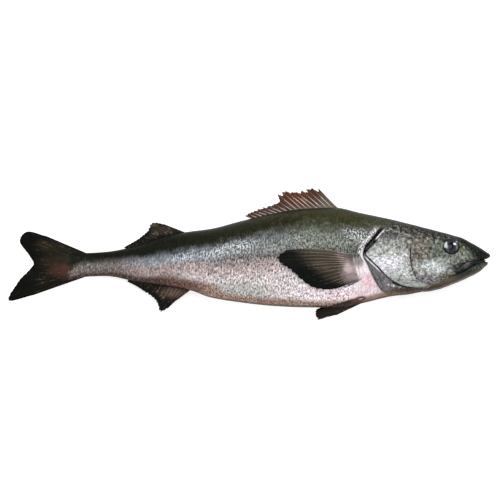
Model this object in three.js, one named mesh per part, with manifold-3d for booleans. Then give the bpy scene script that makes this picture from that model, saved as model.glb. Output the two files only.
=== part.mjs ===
// A whole sablefish, as sold on a fishmonger's slab: it lies on its left side with its right side up.
// Millimetres. +X runs from tail to snout, +Y from belly to back, and +Z up off the slab, which is z = 0.
// The fish is one solid: trunk, head, jaws and fins are fused. Its two eyeballs sit in their sockets.
import * as THREE from 'three';
import { LoftGeometry } from 'three/addons/geometries/LoftGeometry.js';
import { mergeVertices } from 'three/addons/utils/BufferGeometryUtils.js';
import Module from 'manifold-3d';

const wasm = await Module();
wasm.setup();

// ---- Driving dimensions ----
const SNOUT_X = 362;              // the snout's tip, ahead of the middle of the length
const TAIL_ROOT_X = -284;         // where the flesh ends inside the tail fin
const SLAB_BLEND = 1.2;           // how softly the flank rounds off into the patch that the slab flattens
const POINTS_ROUND = 40;          // points round each hoop of the body
const EYE = { x: 303, y: 10.5, radius: 14.2, depth: 7.5, gap: 0.35, proud: 3 };
const STRAP = { front: [347, -5.5], back: [301, -31], width: 9, thick: 8, sunk: 2 };
const TONGUE = { x: 300, y: -18, length: 46, height: 10, width: 9, tilt: 22 };
const MOUTH_LINING = { x: 334.5, y: -15.3, length: 21.5, height: 3.4, width: 8, tilt: 15.5 };
const SPINE_SEED = 7;

// The body at stations from tail to snout: the heights of the back and the belly, half the thickness,
// the height of the middle plane over the slab, and how square (under 1) or keen (over 1) the section is.
const BODY = [
  { x: -284, back: -5.4, belly: -31.6, half: 2, middle: 5.5, backKeen: 1, bellyKeen: 1 },
  { x: -277, back: 1.6, belly: -40.6, half: 3.4, middle: 6, backKeen: 1, bellyKeen: 1 },
  { x: -246, back: 1.6, belly: -34.2, half: 8, middle: 7.6, backKeen: 1, bellyKeen: 1 },
  { x: -216, back: 3.2, belly: -33.2, half: 11.5, middle: 10.2, backKeen: 1, bellyKeen: 1 },
  { x: -171, back: 11.7, belly: -41.2, half: 17.5, middle: 15.3, backKeen: 1, bellyKeen: 1 },
  { x: -126, back: 27.2, belly: -48.2, half: 24, middle: 21.2, backKeen: 1, bellyKeen: 1 },
  { x: -88, back: 33.8, belly: -54.7, half: 29.5, middle: 26.3, backKeen: 0.98, bellyKeen: 0.96 },
  { x: -58, back: 37.7, belly: -65.2, half: 34.5, middle: 31, backKeen: 0.96, bellyKeen: 0.92 },
  { x: -13, back: 49.2, belly: -72.7, half: 41, middle: 37.2, backKeen: 0.95, bellyKeen: 0.9 },
  { x: 39, back: 61.2, belly: -78.2, half: 45.5, middle: 41.5, backKeen: 0.95, bellyKeen: 0.88 },
  { x: 84, back: 68, belly: -80.2, half: 47, middle: 42.8, backKeen: 0.95, bellyKeen: 0.88 },
  { x: 129, back: 69.6, belly: -80.4, half: 46, middle: 42, backKeen: 0.95, bellyKeen: 0.9 },
  { x: 166, back: 61.9, belly: -74.7, half: 44, middle: 40.5, backKeen: 0.92, bellyKeen: 0.95 },
  { x: 219, back: 50.7, belly: -62.7, half: 40.5, middle: 38.8, backKeen: 0.85, bellyKeen: 1.1 },
  { x: 236, back: 46.4, belly: -61.2, half: 38.8, middle: 38, backKeen: 0.8, bellyKeen: 1.15 },
  { x: 264, back: 39.4, belly: -55.7, half: 35, middle: 37, backKeen: 0.72, bellyKeen: 1.15 },
  { x: 285, back: 33.8, belly: -51.2, half: 31, middle: 36.2, backKeen: 0.66, bellyKeen: 1 },
  { x: 300, back: 29.9, belly: -44.2, half: 27.2, middle: 35.6, backKeen: 0.64, bellyKeen: 0.85 },
  { x: 308, back: 27.8, belly: -33.2, half: 25.2, middle: 35.3, backKeen: 0.64, bellyKeen: 0.7 },
  { x: 318, back: 24.6, belly: -24, half: 22.4, middle: 34.8, backKeen: 0.66, bellyKeen: 0.7 },
  { x: 332, back: 17.7, belly: -16, half: 17.8, middle: 34.2, backKeen: 0.75, bellyKeen: 0.7 },
  { x: 347, back: 9.2, belly: -10.2, half: 12, middle: 33.6, backKeen: 0.85, bellyKeen: 0.8 },
  { x: 357, back: 2.5, belly: -7.2, half: 6, middle: 33.2, backKeen: 1, bellyKeen: 1 },
  { x: 362, back: -0.5, belly: -4.6, half: 2, middle: 33, backKeen: 1, bellyKeen: 1 },
];

// The lower jaw, from its root inside the throat to its tip, a finger's width under the snout.
const JAW = [
  { x: 246, back: -34, belly: -55.2, half: 13, middle: 37.4, backKeen: 1, bellyKeen: 0.8 },
  { x: 264, back: -32, belly: -56.8, half: 16, middle: 37, backKeen: 1, bellyKeen: 0.75 },
  { x: 285, back: -31, belly: -53.1, half: 19.5, middle: 36.2, backKeen: 1, bellyKeen: 0.7 },
  { x: 303, back: -30, belly: -46.6, half: 20.5, middle: 35.5, backKeen: 0.7, bellyKeen: 0.75 },
  { x: 318, back: -24.5, belly: -40.6, half: 19, middle: 34.8, backKeen: 0.6, bellyKeen: 0.8 },
  { x: 332, back: -18.4, belly: -34.1, half: 15.6, middle: 34.2, backKeen: 0.6, bellyKeen: 0.85 },
  { x: 346, back: -13.6, belly: -26.6, half: 11, middle: 33.6, backKeen: 0.6, bellyKeen: 0.9 },
  { x: 354, back: -11.4, belly: -19.4, half: 6.8, middle: 33.3, backKeen: 0.8, bellyKeen: 1 },
  { x: 358.5, back: -12, belly: -15.9, half: 2.4, middle: 33.1, backKeen: 1, bellyKeen: 1 },
];

// Three edges of the gill cover. Each is how far forward the edge lies (x) at each depth of the flank,
// from 0 at the ridge of the back to 1 at the keel of the belly.
const SHOULDER_EDGE = [
  [0, 208], [0.16, 193.5], [0.27, 183.5], [0.385, 172.5], [0.46, 170.5], [0.56, 177],
  [0.66, 182.5], [0.79, 190.5], [0.9, 199], [1, 212],
];
const GILL_COVER_EDGE = [
  [0, 222], [0.14, 207], [0.22, 198], [0.33, 188], [0.41, 178.5], [0.447, 174.8], [0.5, 180.5],
  [0.56, 187], [0.65, 195], [0.74, 204], [0.82, 213], [0.88, 226], [0.93, 243], [0.97, 262], [1, 276],
];
const CHEEK_EDGE = [
  [0, 252], [0.3, 242.5], [0.45, 241.5], [0.6, 243.5], [0.72, 248], [0.82, 256], [0.88, 266],
  [0.94, 284], [1, 298],
];
const FACE_FROM_X = 316;          // ahead of here the hoops are upright again
const TRUNK_TO_X = 150;           // behind here they are upright too
const SLIT_DEPTH = 7;             // the open top of the gill slit, under the shoulder
const MEMBRANE_LIFT = 1.2;
const GILL_COVER_LIFT = 2.8;
const CHEEK_LIFT = 1.8;

const FINS = {
  // Length and rake of the rays, in millimetres and degrees from straight back, at shares of the root.
  firstDorsal: {
    from: 132, to: 3, rays: 18, rows: 3, sink: 5, thick: 1.4, web: 0.7, edge: 0.3, notch: 0.13, ragged: 2.2,
    length: [[0, 40], [0.1, 41], [0.2, 39], [0.4, 39], [0.48, 35], [0.54, 20], [0.65, 24], [0.8, 21], [1, 11]],
    rake: [[0, 46], [0.1, 43], [0.25, 38], [0.4, 41], [0.5, 37], [0.65, 24], [0.8, 20], [1, 24]],
  },
  secondDorsal: {
    from: -97, to: -185, rays: 14, rows: 3, sink: 5, thick: 1.3, web: 0.75, edge: 0.35, notch: 0.03, ragged: 0.3,
    length: [[0, 32], [0.1, 34], [0.2, 34.6], [0.4, 22.5], [0.6, 15], [0.8, 10], [1, 3.5]],
    rake: [[0, 22], [0.2, 30], [0.4, 22], [0.6, 24], [0.8, 24], [1, 28]],
  },
  anal: {
    from: -89, to: -181, rays: 16, rows: 3, sink: 5, thick: 1.3, web: 0.75, edge: 0.35, notch: 0.02, ragged: 0.3,
    length: [[0, 22], [0.12, 37], [0.25, 42.3], [0.38, 29.6], [0.5, 21.3], [0.7, 12.6], [0.85, 7], [1, 3]],
    rake: [[0, 38], [0.12, 53], [0.25, 59.5], [0.38, 63], [0.5, 67], [0.7, 61], [0.85, 55], [1, 50]],
  },
};
const TAIL_FIN = {
  rays: 22, rows: 4, thick: 2, web: 1.2, edge: 0.4, notch: 0.012, level: [7.2, 2.2],
  root: [[-238, -2], [-258, -1], [-272, -8], [-277, -15], [-278, -20], [-277, -26], [-272, -33], [-258, -34.5], [-240, -31.5]],
  tips: [[-305, 27], [-335, 33.5], [-345, 20.5], [-330, -3], [-324, -14], [-328, -21], [-347, -41.5], [-362, -69.5], [-325, -62]],
};
const PECTORAL = {
  rays: 15, rows: 4, thick: 1.5, web: 0.9, edge: 0.4, notch: 0.01, bow: 6.5, gap: 2.4, lift: 3.5,
  root: [[166, -6], [168, -20], [166, -37]],
  tips: [[54, 5.4], [43.5, -4], [50, -16], [61.5, -24.5], [78, -39], [94.5, -50], [114, -53.4], [133, -51], [149, -44.5]],
};
const PELVIC = {
  rays: 6, rows: 6, thick: 1.9, web: 1.3, edge: 0.8, notch: 0.02, gap: 0.4, fold: 1.6,
  root: [[165, -65], [170, -67.5], [175, -70]],
  tips: [[100.5, -86], [99, -91], [102, -98.5], [116, -95], [131, -91.5]],
  rightLevel: [48, 43], leftLevel: [32, 38], tuck: 3,
};
const FIN_DROOP = { steady: 0.006, tip: 0.0003 };   // how fast a fin of the ridges sinks toward the slab
const FIN_ROOT = { sunk: 2.5, share: 0.22 };   // how deep a fin on the flank starts, and where it is clear

// ---- Curves and small sums ----
const clamp = THREE.MathUtils.clamp;
const mix = THREE.MathUtils.lerp;
const ease = THREE.MathUtils.smoothstep;

// A smooth curve through [place, value] pairs that never overshoots them.
function curveThrough(pairs) {
  const slope = (i) => {
    const j = clamp(i, 0, pairs.length - 2);
    return (pairs[j + 1][1] - pairs[j][1]) / (pairs[j + 1][0] - pairs[j][0]);
  };
  const tangent = (i) => {
    const [before, after] = [slope(i - 1), slope(i)];
    if (i === 0 || i === pairs.length - 1) return i ? before : after;
    return before * after <= 0 ? 0 : (2 * before * after) / (before + after);
  };
  return (place) => {
    const at = clamp(place, pairs[0][0], pairs[pairs.length - 1][0]);
    let i = 0;
    while (i < pairs.length - 2 && at > pairs[i + 1][0]) i += 1;
    const span = pairs[i + 1][0] - pairs[i][0];
    const t = (at - pairs[i][0]) / span;
    const [t2, t3] = [t * t, t * t * t];
    return pairs[i][1] * (2 * t3 - 3 * t2 + 1) + pairs[i + 1][1] * (3 * t2 - 2 * t3)
      + span * (tangent(i) * (t3 - 2 * t2 + t) + tangent(i + 1) * (t3 - t2));
  };
}

// The sections of a body part as one smooth curve for each measure.
function bodyOf(stations) {
  const measures = {};
  for (const key of Object.keys(stations[0])) {
    if (key !== 'x') measures[key] = curveThrough(stations.map((s) => [s.x, s[key]]));
  }
  return measures;
}
const trunk = bodyOf(BODY);
const jaw = bodyOf(JAW);

// The slab holds the lower flank up: heights under zero become zero, with a soft shoulder.
function restOnSlab(z) {
  if (z > SLAB_BLEND) return z;
  return z < -SLAB_BLEND ? 0 : (z + SLAB_BLEND) ** 2 / (4 * SLAB_BLEND);
}

// Half the thickness at a depth of the flank, from 0 at the back to 1 at the belly.
function thicknessAt(part, x, depth) {
  const round = Math.sqrt(Math.max(0, 4 * depth * (1 - depth)));
  const keen = mix(part.backKeen(x), part.bellyKeen(x), ease(depth, 0.25, 0.75));
  return part.half(x) * round ** keen;
}

// The height over the slab of the right flank (side 1) or the left flank (side -1) at x, y.
function flankLevel(x, y, side) {
  const depth = clamp((trunk.back(x) - y) / (trunk.back(x) - trunk.belly(x)), 0, 1);
  return trunk.middle(x) + side * thicknessAt(trunk, x, depth);
}

// One hoop of points round a body part. place(depth) is its x, and lift(depth) stands it off the flank.
function hoop(part, place, lift) {
  return Array.from({ length: POINTS_ROUND }, (_, i) => {
    const angle = (i / POINTS_ROUND) * 2 * Math.PI;
    const depth = (1 - Math.cos(angle)) / 2;
    const x = place(depth);
    const [back, belly] = [part.back(x), part.belly(x)];
    const height = (back - belly) / 2;
    const side = Math.sin(angle) < 0 ? -1 : 1;
    const thick = thicknessAt(part, x, depth);
    const off = lift(depth);
    // The lift runs along the section's own normal.
    const normal = new THREE.Vector2(Math.cos(angle) / height, Math.abs(Math.sin(angle)) / part.half(x)).normalize();
    const y = (back + belly) / 2 + height * Math.cos(angle) + off * normal.x;
    return new THREE.Vector3(x, y, restOnSlab(part.middle(x) + side * (thick + off * normal.y)));
  });
}
const flat = () => 0;
const upright = (x) => () => x;

// ---- Solids ----
// A closed geometry as a solid for cutting and joining.
function solid(geometry) {
  const bare = new THREE.BufferGeometry().setAttribute('position', geometry.getAttribute('position'));
  bare.setIndex(geometry.getIndex());
  const merged = mergeVertices(bare, 1e-3);
  const index = merged.getIndex().array;
  const kept = [];
  for (let i = 0; i < index.length; i += 3) {
    const [a, b, c] = index.slice(i, i + 3);
    if (a !== b && b !== c && a !== c) kept.push(a, b, c);
  }
  const vertProperties = merged.getAttribute('position').array;
  const make = (triVerts) => new wasm.Manifold(new wasm.Mesh({ numProp: 3, vertProperties, triVerts }));
  const made = make(new Uint32Array(kept));
  return made.volume() > 0 ? made : make(new Uint32Array(kept.reverse()));
}

function geometryOf(made) {
  const { vertProperties, triVerts } = made.getMesh();
  const geometry = new THREE.BufferGeometry();
  geometry.setAttribute('position', new THREE.BufferAttribute(vertProperties, 3));
  geometry.setIndex(new THREE.BufferAttribute(triVerts, 1));
  geometry.computeVertexNormals();
  return geometry;
}

// Trunk and head: upright hoops, apart from those that follow the three edges of the gill cover,
// where each edge is a lip standing over the hoop that runs in beneath it.
function bodySolid() {
  const shoulder = curveThrough(SHOULDER_EDGE);
  const cover = curveThrough(GILL_COVER_EDGE);
  const cheek = curveThrough(CHEEK_EDGE);
  const open = (depth) => ease(depth, 0.1, 0.22) * (1 - ease(depth, 0.4, 0.47));
  const coverShows = (depth) => ease(depth, 0.1, 0.2) * (1 - ease(depth, 0.93, 0.99));
  const cheekShows = (depth) => ease(depth, 0.24, 0.36) * (1 - ease(depth, 0.88, 0.97));
  const membrane = (depth) => ease(depth, 0.45, 0.52) * (1 - ease(depth, 0.95, 1));
  const between = (a, b, share) => (depth) => mix(a(depth), b(depth), share);
  const beside = (edge, step) => (depth) => edge(depth) + step;

  const hoops = [];
  const add = (place, lift = flat) => hoops.push(hoop(trunk, place, lift));
  for (let x = TAIL_ROOT_X; x < -250; x += 9) add(upright(x));
  for (let x = -247; x < TRUNK_TO_X - 5; x += 19) add(upright(x));
  add(upright(TRUNK_TO_X));
  add(between(upright(TRUNK_TO_X), shoulder, 0.55));
  add(beside(shoulder, -0.6), (depth) => -0.9 * membrane(depth));
  add(beside(shoulder, 0.6), (depth) => MEMBRANE_LIFT * membrane(depth) - SLIT_DEPTH * open(depth));
  add(between(shoulder, cover, 0.55), (depth) => 0.4 * membrane(depth) - SLIT_DEPTH * open(depth));
  add(beside(cover, 2), (depth) => -1.4 * coverShows(depth) - (SLIT_DEPTH - 1) * open(depth));
  add(beside(cover, -0.2), (depth) => GILL_COVER_LIFT * coverShows(depth));
  add(between(cover, cheek, 0.12), (depth) => 0.9 * GILL_COVER_LIFT * coverShows(depth));
  for (const share of [0.35, 0.6, 0.85]) {
    add(between(cover, cheek, share), (depth) => (1 - share) * GILL_COVER_LIFT * coverShows(depth));
  }
  add(beside(cheek, 0.7), (depth) => -1 * cheekShows(depth));
  add(beside(cheek, -0.2), (depth) => CHEEK_LIFT * cheekShows(depth));
  const face = upright(FACE_FROM_X);
  for (const share of [0.1, 0.25, 0.42, 0.6, 0.8]) {
    add(between(cheek, face, share), (depth) => CHEEK_LIFT * (1 - share) ** 3 * cheekShows(depth));
  }
  for (let x = FACE_FROM_X; x < SNOUT_X - 8; x += 7) add(upright(x));
  add(upright(SNOUT_X - 5));
  add(upright(SNOUT_X - 2));
  add(upright(SNOUT_X));
  return solid(new LoftGeometry(hoops, { capStart: true, capEnd: true }));
}

function jawSolid() {
  const [first, last] = [JAW[0].x, JAW[JAW.length - 1].x];
  const hoops = [];
  const steps = 13;
  for (let i = 0; i <= steps; i += 1) {
    hoops.push(hoop(jaw, upright(mix(first, last, Math.sin((i / steps) * (Math.PI / 2)))), flat));
  }
  return solid(new LoftGeometry(hoops, { capStart: true, capEnd: true }));
}

// The tongue and the lining ahead of it fill the mouth, so that no daylight shows between the jaws.
function mouthBall({ x, y, length, height, width, tilt }) {
  const ball = new THREE.SphereGeometry(1, 14, 10);
  ball.scale(length, height, width);
  ball.rotateZ(THREE.MathUtils.degToRad(tilt));
  ball.translate(x, y, trunk.middle(x));
  return solid(ball);
}

// The strap of bone along each side of the upper jaw, half sunk in the head's lower edge.
function jawStrap(side) {
  const inFlank = ([x, y]) => new THREE.Vector3(x, y, flankLevel(x, y, side) - side * STRAP.sunk);
  const [from, to] = [inFlank(STRAP.front), inFlank(STRAP.back)];
  const ball = new THREE.SphereGeometry(1, 16, 8);
  ball.scale(from.distanceTo(to) / 2, STRAP.width / 2, STRAP.thick / 2);
  const along = from.clone().sub(to).normalize();
  const out = new THREE.Vector3(0, 0, side).addScaledVector(along, -along.z * side).normalize();
  const turn = new THREE.Matrix4().makeBasis(along, new THREE.Vector3().crossVectors(out, along), out);
  ball.applyMatrix4(turn);
  const middle = from.clone().lerp(to, 0.5);
  ball.translate(middle.x, middle.y, middle.z);
  return solid(ball);
}

// A fin is a thin blade of columns, alternately a ray and the web between two rays, each with rows from
// root to tip. Both faces are split into triangles alike. spot(u, t) is the place on the blade's middle.
function bladeSolid({ rays, rows, thick, web, edge }, spot) {
  const columns = 2 * (rays - 1);
  const [points, faces] = [[], []];
  const half = (i, t) => mix(i % 2 ? web : thick, edge, t ** 1.5) / 2;
  for (const face of [1, -1]) {
    for (let i = 0; i <= columns; i += 1) {
      for (let j = 0; j <= rows; j += 1) {
        const t = j / rows;
        const p = spot(i / columns, t, i % 2 === 1);
        points.push(p.x, p.y, p.z + face * half(i, t));
      }
    }
  }
  const at = (i, j, face) => (face ? (columns + 1) * (rows + 1) : 0) + i * (rows + 1) + j;
  const quad = (a, b, c, d) => faces.push(a, b, c, a, c, d);
  for (let i = 0; i < columns; i += 1) {
    for (let j = 0; j < rows; j += 1) {
      quad(at(i, j, 0), at(i + 1, j, 0), at(i + 1, j + 1, 0), at(i, j + 1, 0));
      faces.push(at(i, j, 1), at(i + 1, j + 1, 1), at(i + 1, j, 1), at(i, j, 1), at(i, j + 1, 1), at(i + 1, j + 1, 1));
    }
    quad(at(i + 1, 0, 0), at(i, 0, 0), at(i, 0, 1), at(i + 1, 0, 1));
    quad(at(i, rows, 0), at(i + 1, rows, 0), at(i + 1, rows, 1), at(i, rows, 1));
  }
  for (let j = 0; j < rows; j += 1) {
    quad(at(0, j, 0), at(0, j + 1, 0), at(0, j + 1, 1), at(0, j, 1));
    quad(at(columns, j + 1, 0), at(columns, j, 0), at(columns, j, 1), at(columns, j + 1, 1));
  }
  const geometry = new THREE.BufferGeometry();
  geometry.setAttribute('position', new THREE.Float32BufferAttribute(points, 3));
  geometry.setIndex(faces);
  return solid(geometry);
}

// Small seeded numbers from -1 to 1, one for each ray.
function rayChances(count) {
  let state = SPINE_SEED;
  return Array.from({ length: count }, () => {
    state = (state * 48271) % 2147483647;
    return (state / 2147483647) * 2 - 1;
  });
}

// A fin on the ridge of the back (side 1) or the keel of the belly (side -1), its rays raked back.
function ridgeFin(fin, side) {
  const [length, rake] = [curveThrough(fin.length), curveThrough(fin.rake)];
  const chances = rayChances(2 * fin.rays);
  const ridge = side > 0 ? trunk.back : trunk.belly;
  return bladeSolid(fin, (u, t, isWeb) => {
    const x = mix(fin.from, fin.to, u);
    const angle = THREE.MathUtils.degToRad(rake(u));
    const ragged = fin.ragged * chances[Math.round(u * 2 * (fin.rays - 1))];
    const reach = (length(u) + ragged * ease(u, 0.05, 0.15)) * (isWeb ? 1 - fin.notch : 1);
    const out = mix(-fin.sink, reach, t);
    return new THREE.Vector3(
      x - out * Math.cos(angle),
      ridge(x) + side * out * Math.sin(angle),
      trunk.middle(x) * (1 - FIN_DROOP.steady * Math.max(0, out) - FIN_DROOP.tip * t * reach),
    );
  });
}

// A fin whose rays run from a root line to a line of tips, both smooth curves.
function fanFin(fin, level, bend = flat) {
  const line = (points) => new THREE.CatmullRomCurve3(points.map(([x, y]) => new THREE.Vector3(x, y, 0)));
  const [root, tips] = [line(fin.root), line(fin.tips)];
  return bladeSolid(fin, (u, t, isWeb) => {
    const [from, to] = [root.getPoint(u), tips.getPoint(u)];
    const spot = from.clone().lerp(to, t * (isWeb ? 1 - fin.notch : 1));
    const across = new THREE.Vector3(from.y - to.y, to.x - from.x, 0).normalize();
    spot.addScaledVector(across, -bend(u) * 4 * t * (1 - t));
    return spot.setZ(level(spot, u, t));
  });
}

// The height of a fin that lies on a flank: sunk in it at the root, and clear of it by a gap further out.
function onFlank(spot, side, t, gap) {
  const stand = mix(-FIN_ROOT.sunk, gap, ease(t, 0, FIN_ROOT.share));
  return flankLevel(spot.x, spot.y, side) + side * stand;
}

function pectoralFin(side) {
  const bend = (u) => PECTORAL.bow * (1 - u) ** 1.5;
  return fanFin(PECTORAL, (spot, u, t) => {
    const level = onFlank(spot, side, t, PECTORAL.gap + PECTORAL.lift * t);
    return Math.max(level, 0.5 + PECTORAL.thick / 2);
  }, bend);
}

// The near pelvic fin drapes over the edge of the belly, and the far one is drawn in under it.
function pelvicFin(side) {
  const near = side > 0;
  const [root, tip] = near ? PELVIC.rightLevel : PELVIC.leftLevel;
  const fold = (u) => PELVIC.fold * Math.cos(u * 3 * Math.PI);
  return fanFin(PELVIC, (spot, u, t) => {
    const free = mix(root, tip, t) + fold(u) * t * side;
    return near ? Math.max(free, onFlank(spot, side, t, PELVIC.gap)) : free;
  }).translate([0, near ? 0 : PELVIC.tuck, 0]);
}

function tailFin() {
  const [near, far] = TAIL_FIN.level;
  return fanFin(TAIL_FIN, (spot, u, t) => mix(near, far, t ** 0.8));
}

// The eyeball: a flattened ball that looks straight out of the side of the head.
function eyeball(side, extra) {
  const { x, y, radius, depth, proud } = EYE;
  const at = (px, py) => new THREE.Vector3(px, py, flankLevel(px, py, side));
  const slopeX = at(x + 4, y).sub(at(x - 4, y));
  const slopeY = at(x, y + 4).sub(at(x, y - 4));
  const out = new THREE.Vector3().crossVectors(slopeX, slopeY).normalize().multiplyScalar(side);
  const ball = new THREE.SphereGeometry(1, 20, 12);
  ball.rotateX(Math.PI / 2);
  ball.scale(radius + extra, radius + extra, depth + extra);
  const forward = slopeX.normalize();
  const turn = new THREE.Matrix4().makeBasis(forward, new THREE.Vector3().crossVectors(out, forward), out);
  ball.applyMatrix4(turn);
  const centre = at(x, y).addScaledVector(out, proud - depth);
  ball.translate(centre.x, centre.y, centre.z);
  return solid(ball);
}

// ---- The fish ----
const fused = wasm.Manifold.union([
  bodySolid(), jawSolid(), mouthBall(TONGUE), mouthBall(MOUTH_LINING), jawStrap(1), jawStrap(-1),
  ridgeFin(FINS.firstDorsal, 1), ridgeFin(FINS.secondDorsal, 1), ridgeFin(FINS.anal, -1),
  tailFin(), pectoralFin(1), pectoralFin(-1), pelvicFin(1), pelvicFin(-1),
]);
const socketed = fused.subtract(eyeball(1, EYE.gap)).subtract(eyeball(-1, EYE.gap));

const skin = new THREE.MeshStandardMaterial({ color: 0x8f918c, roughness: 0.38, metalness: 0.1 });
const glassy = new THREE.MeshStandardMaterial({ color: 0x23262c, roughness: 0.08, metalness: 0 });

const fish = new THREE.Group();
const add = (name, made, material) => {
  const mesh = new THREE.Mesh(geometryOf(made), material);
  mesh.name = name;
  fish.add(mesh);
};
add('fish', socketed, skin);
add('eye_right', eyeball(1, 0), glassy);
add('eye_left', eyeball(-1, 0), glassy);

// The origin is the middle of the fish's outline, on the slab.
const box = new THREE.Box3().setFromObject(fish, true);
const middle = box.getCenter(new THREE.Vector3());
fish.position.set(-middle.x, -middle.y, -box.min.z);

export default fish;
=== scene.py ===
# %% [markdown]
# # A whole sablefish on its side
# A fishmonger's sablefish lies on its left flank, and we look straight down on the right one. The
# script loads the solid model as a fixed frame and dresses it: a fine skin with gill covers, jaws
# and eyes, and eight fins made of real rays and webs. All tables here are in millimetres.

# %% The frame and the tools
import math

import bmesh
import bpy
import numpy as np
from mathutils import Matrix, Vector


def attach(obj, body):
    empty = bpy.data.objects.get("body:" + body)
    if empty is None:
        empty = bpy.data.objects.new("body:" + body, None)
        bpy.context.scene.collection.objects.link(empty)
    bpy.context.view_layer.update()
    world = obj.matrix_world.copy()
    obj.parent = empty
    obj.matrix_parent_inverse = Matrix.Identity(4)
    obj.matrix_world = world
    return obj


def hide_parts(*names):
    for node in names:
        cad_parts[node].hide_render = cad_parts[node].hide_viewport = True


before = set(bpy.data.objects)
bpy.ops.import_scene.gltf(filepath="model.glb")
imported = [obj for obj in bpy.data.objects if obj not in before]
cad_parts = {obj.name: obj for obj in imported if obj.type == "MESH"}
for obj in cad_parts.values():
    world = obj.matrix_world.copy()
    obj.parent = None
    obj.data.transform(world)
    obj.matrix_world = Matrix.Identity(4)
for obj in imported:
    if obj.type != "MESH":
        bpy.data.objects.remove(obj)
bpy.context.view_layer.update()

MM = 0.001
FINE = 1.0

# %% [markdown]
# ## Expressions that wire nodes
# Shader and geometry nodes both do sums one node at a time, which is slow to read. One small class
# wraps a socket and takes Python's operators, so `1 - mask * 0.5` adds its own nodes. A board is a
# node tree with one method that adds any other node.

# %% A wire and a board
class Wire:
    """An output socket. Sums on it add Math nodes, or Vector Math nodes where a vector takes part."""

    def __init__(self, board, socket):
        self.board, self.socket, self.kind = board, socket, socket.type

    def other(self, name):
        """Another output of the same node."""
        return Wire(self.board, self.socket.node.outputs[name])

    def __add__(self, value):
        return self.board.sums("ADD", self, value)

    def __radd__(self, value):
        return self.board.sums("ADD", value, self)

    def __sub__(self, value):
        return self.board.sums("SUBTRACT", self, value)

    def __rsub__(self, value):
        return self.board.sums("SUBTRACT", value, self)

    def __mul__(self, value):
        return self.board.sums("MULTIPLY", self, value)

    def __rmul__(self, value):
        return self.board.sums("MULTIPLY", value, self)

    def __truediv__(self, value):
        return self.board.sums("DIVIDE", self, value)

    def __rtruediv__(self, value):
        return self.board.sums("DIVIDE", value, self)

    def __pow__(self, value):
        return self.board.sums("POWER", self, value)

    def __neg__(self):
        return self.board.sums("MULTIPLY", self, -1.0)


class Board:
    """A node tree that is wired up by expressions."""

    def __init__(self, tree):
        self.tree = tree

    def node(self, kind, settings=None, sockets=None, out=0):
        """Adds a node: its settings first, then a value or a wire for each named or numbered socket."""
        made = self.tree.nodes.new(kind)
        for name, value in (settings or {}).items():
            setattr(made, name, value)
        for key, value in (sockets or {}).items():
            self.feed(made.inputs[key], value)
        return Wire(self, made.outputs[out])

    def feed(self, socket, value):
        if isinstance(value, Wire):
            self.tree.links.new(value.socket, socket)
        else:
            socket.default_value = value

    def sums(self, operation, *terms):
        """A sum in numbers, or in vectors where a term is a tuple or a vector's wire."""
        arrows = [t for t in terms if isinstance(t, tuple) or getattr(t, "kind", "") == "VECTOR"]
        if not arrows:
            return self.node("ShaderNodeMath", {"operation": operation}, dict(enumerate(terms)))
        if operation == "MULTIPLY" and len(arrows) == 1:
            factor = next(t for t in terms if t is not arrows[0])
            sockets = {0: arrows[0], "Scale": factor}
            return self.node("ShaderNodeVectorMath", {"operation": "SCALE"}, sockets)
        return self.node("ShaderNodeVectorMath", {"operation": operation}, dict(enumerate(terms)))

    def parts(self, vector):
        """The X, Y and Z of a vector."""
        split = self.node("ShaderNodeSeparateXYZ", {}, {0: vector})
        return split, split.other("Y"), split.other("Z")

    def vector(self, x, y, z):
        return self.node("ShaderNodeCombineXYZ", {}, {0: x, 1: y, 2: z})

    def step(self, value, low, high):
        """A soft step from 0 at low to 1 at high. With low above high it steps down."""
        span = {"Value": value, "From Min": low, "From Max": high}
        return self.node("ShaderNodeMapRange", {"interpolation_type": "SMOOTHSTEP"}, span)

    def least(self, a, b):
        return self.sums("MINIMUM", a, b)

    def most(self, a, b):
        return self.sums("MAXIMUM", a, b)

# %% [markdown]
# ## Curves through a few measured places
# The outline of the fish is known at a few places only. A cubic through them that never overshoots
# keeps the back and the belly smooth with so few numbers, and it works on whole arrays at once.

# %% Curves
def curve_through(pairs):
    """A smooth curve through (place, value) pairs, as a function of an array of places."""
    place, value = np.array(pairs, float).T
    step = np.diff(place)
    slope = np.diff(value) / step
    before, after = slope[:-1], slope[1:]
    same_way = before * after > 0
    middle = np.where(same_way, 2 * before * after / np.where(same_way, before + after, 1), 0)
    tangent = np.concatenate([slope[:1], middle, slope[-1:]])

    def at(x):
        x = np.clip(x, place[0], place[-1])
        i = np.clip(np.searchsorted(place, x, side="right") - 1, 0, len(step) - 1)
        t = (x - place[i]) / step[i]
        ends = value[i] * (2 * t**3 - 3 * t**2 + 1) + value[i + 1] * (3 * t**2 - 2 * t**3)
        return ends + step[i] * (tangent[i] * (t**3 - 2 * t**2 + t) + tangent[i + 1] * (t**3 - t**2))

    return at


def ease(x, low, high):
    """A soft step from 0 at low to 1 at high, on arrays."""
    t = np.clip((np.asarray(x, float) - low) / (high - low), 0, 1)
    return t * t * (3 - 2 * t)


def mix(a, b, share):
    return a + (b - a) * share


print("a curve through 0, 1 and 4 passes", float(curve_through([(0, 0), (1, 1), (2, 4)])(1.5)), "at 1.5")

# %% [markdown]
# ## The sections of the fish
# A fish is widest a third of the way down its length and flattens towards the tail. Each station
# gives the back, the belly, half the thickness and the middle plane's height over the slab, and two
# powers that say how square (under 1) or keen (over 1) the section is above and below.

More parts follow.
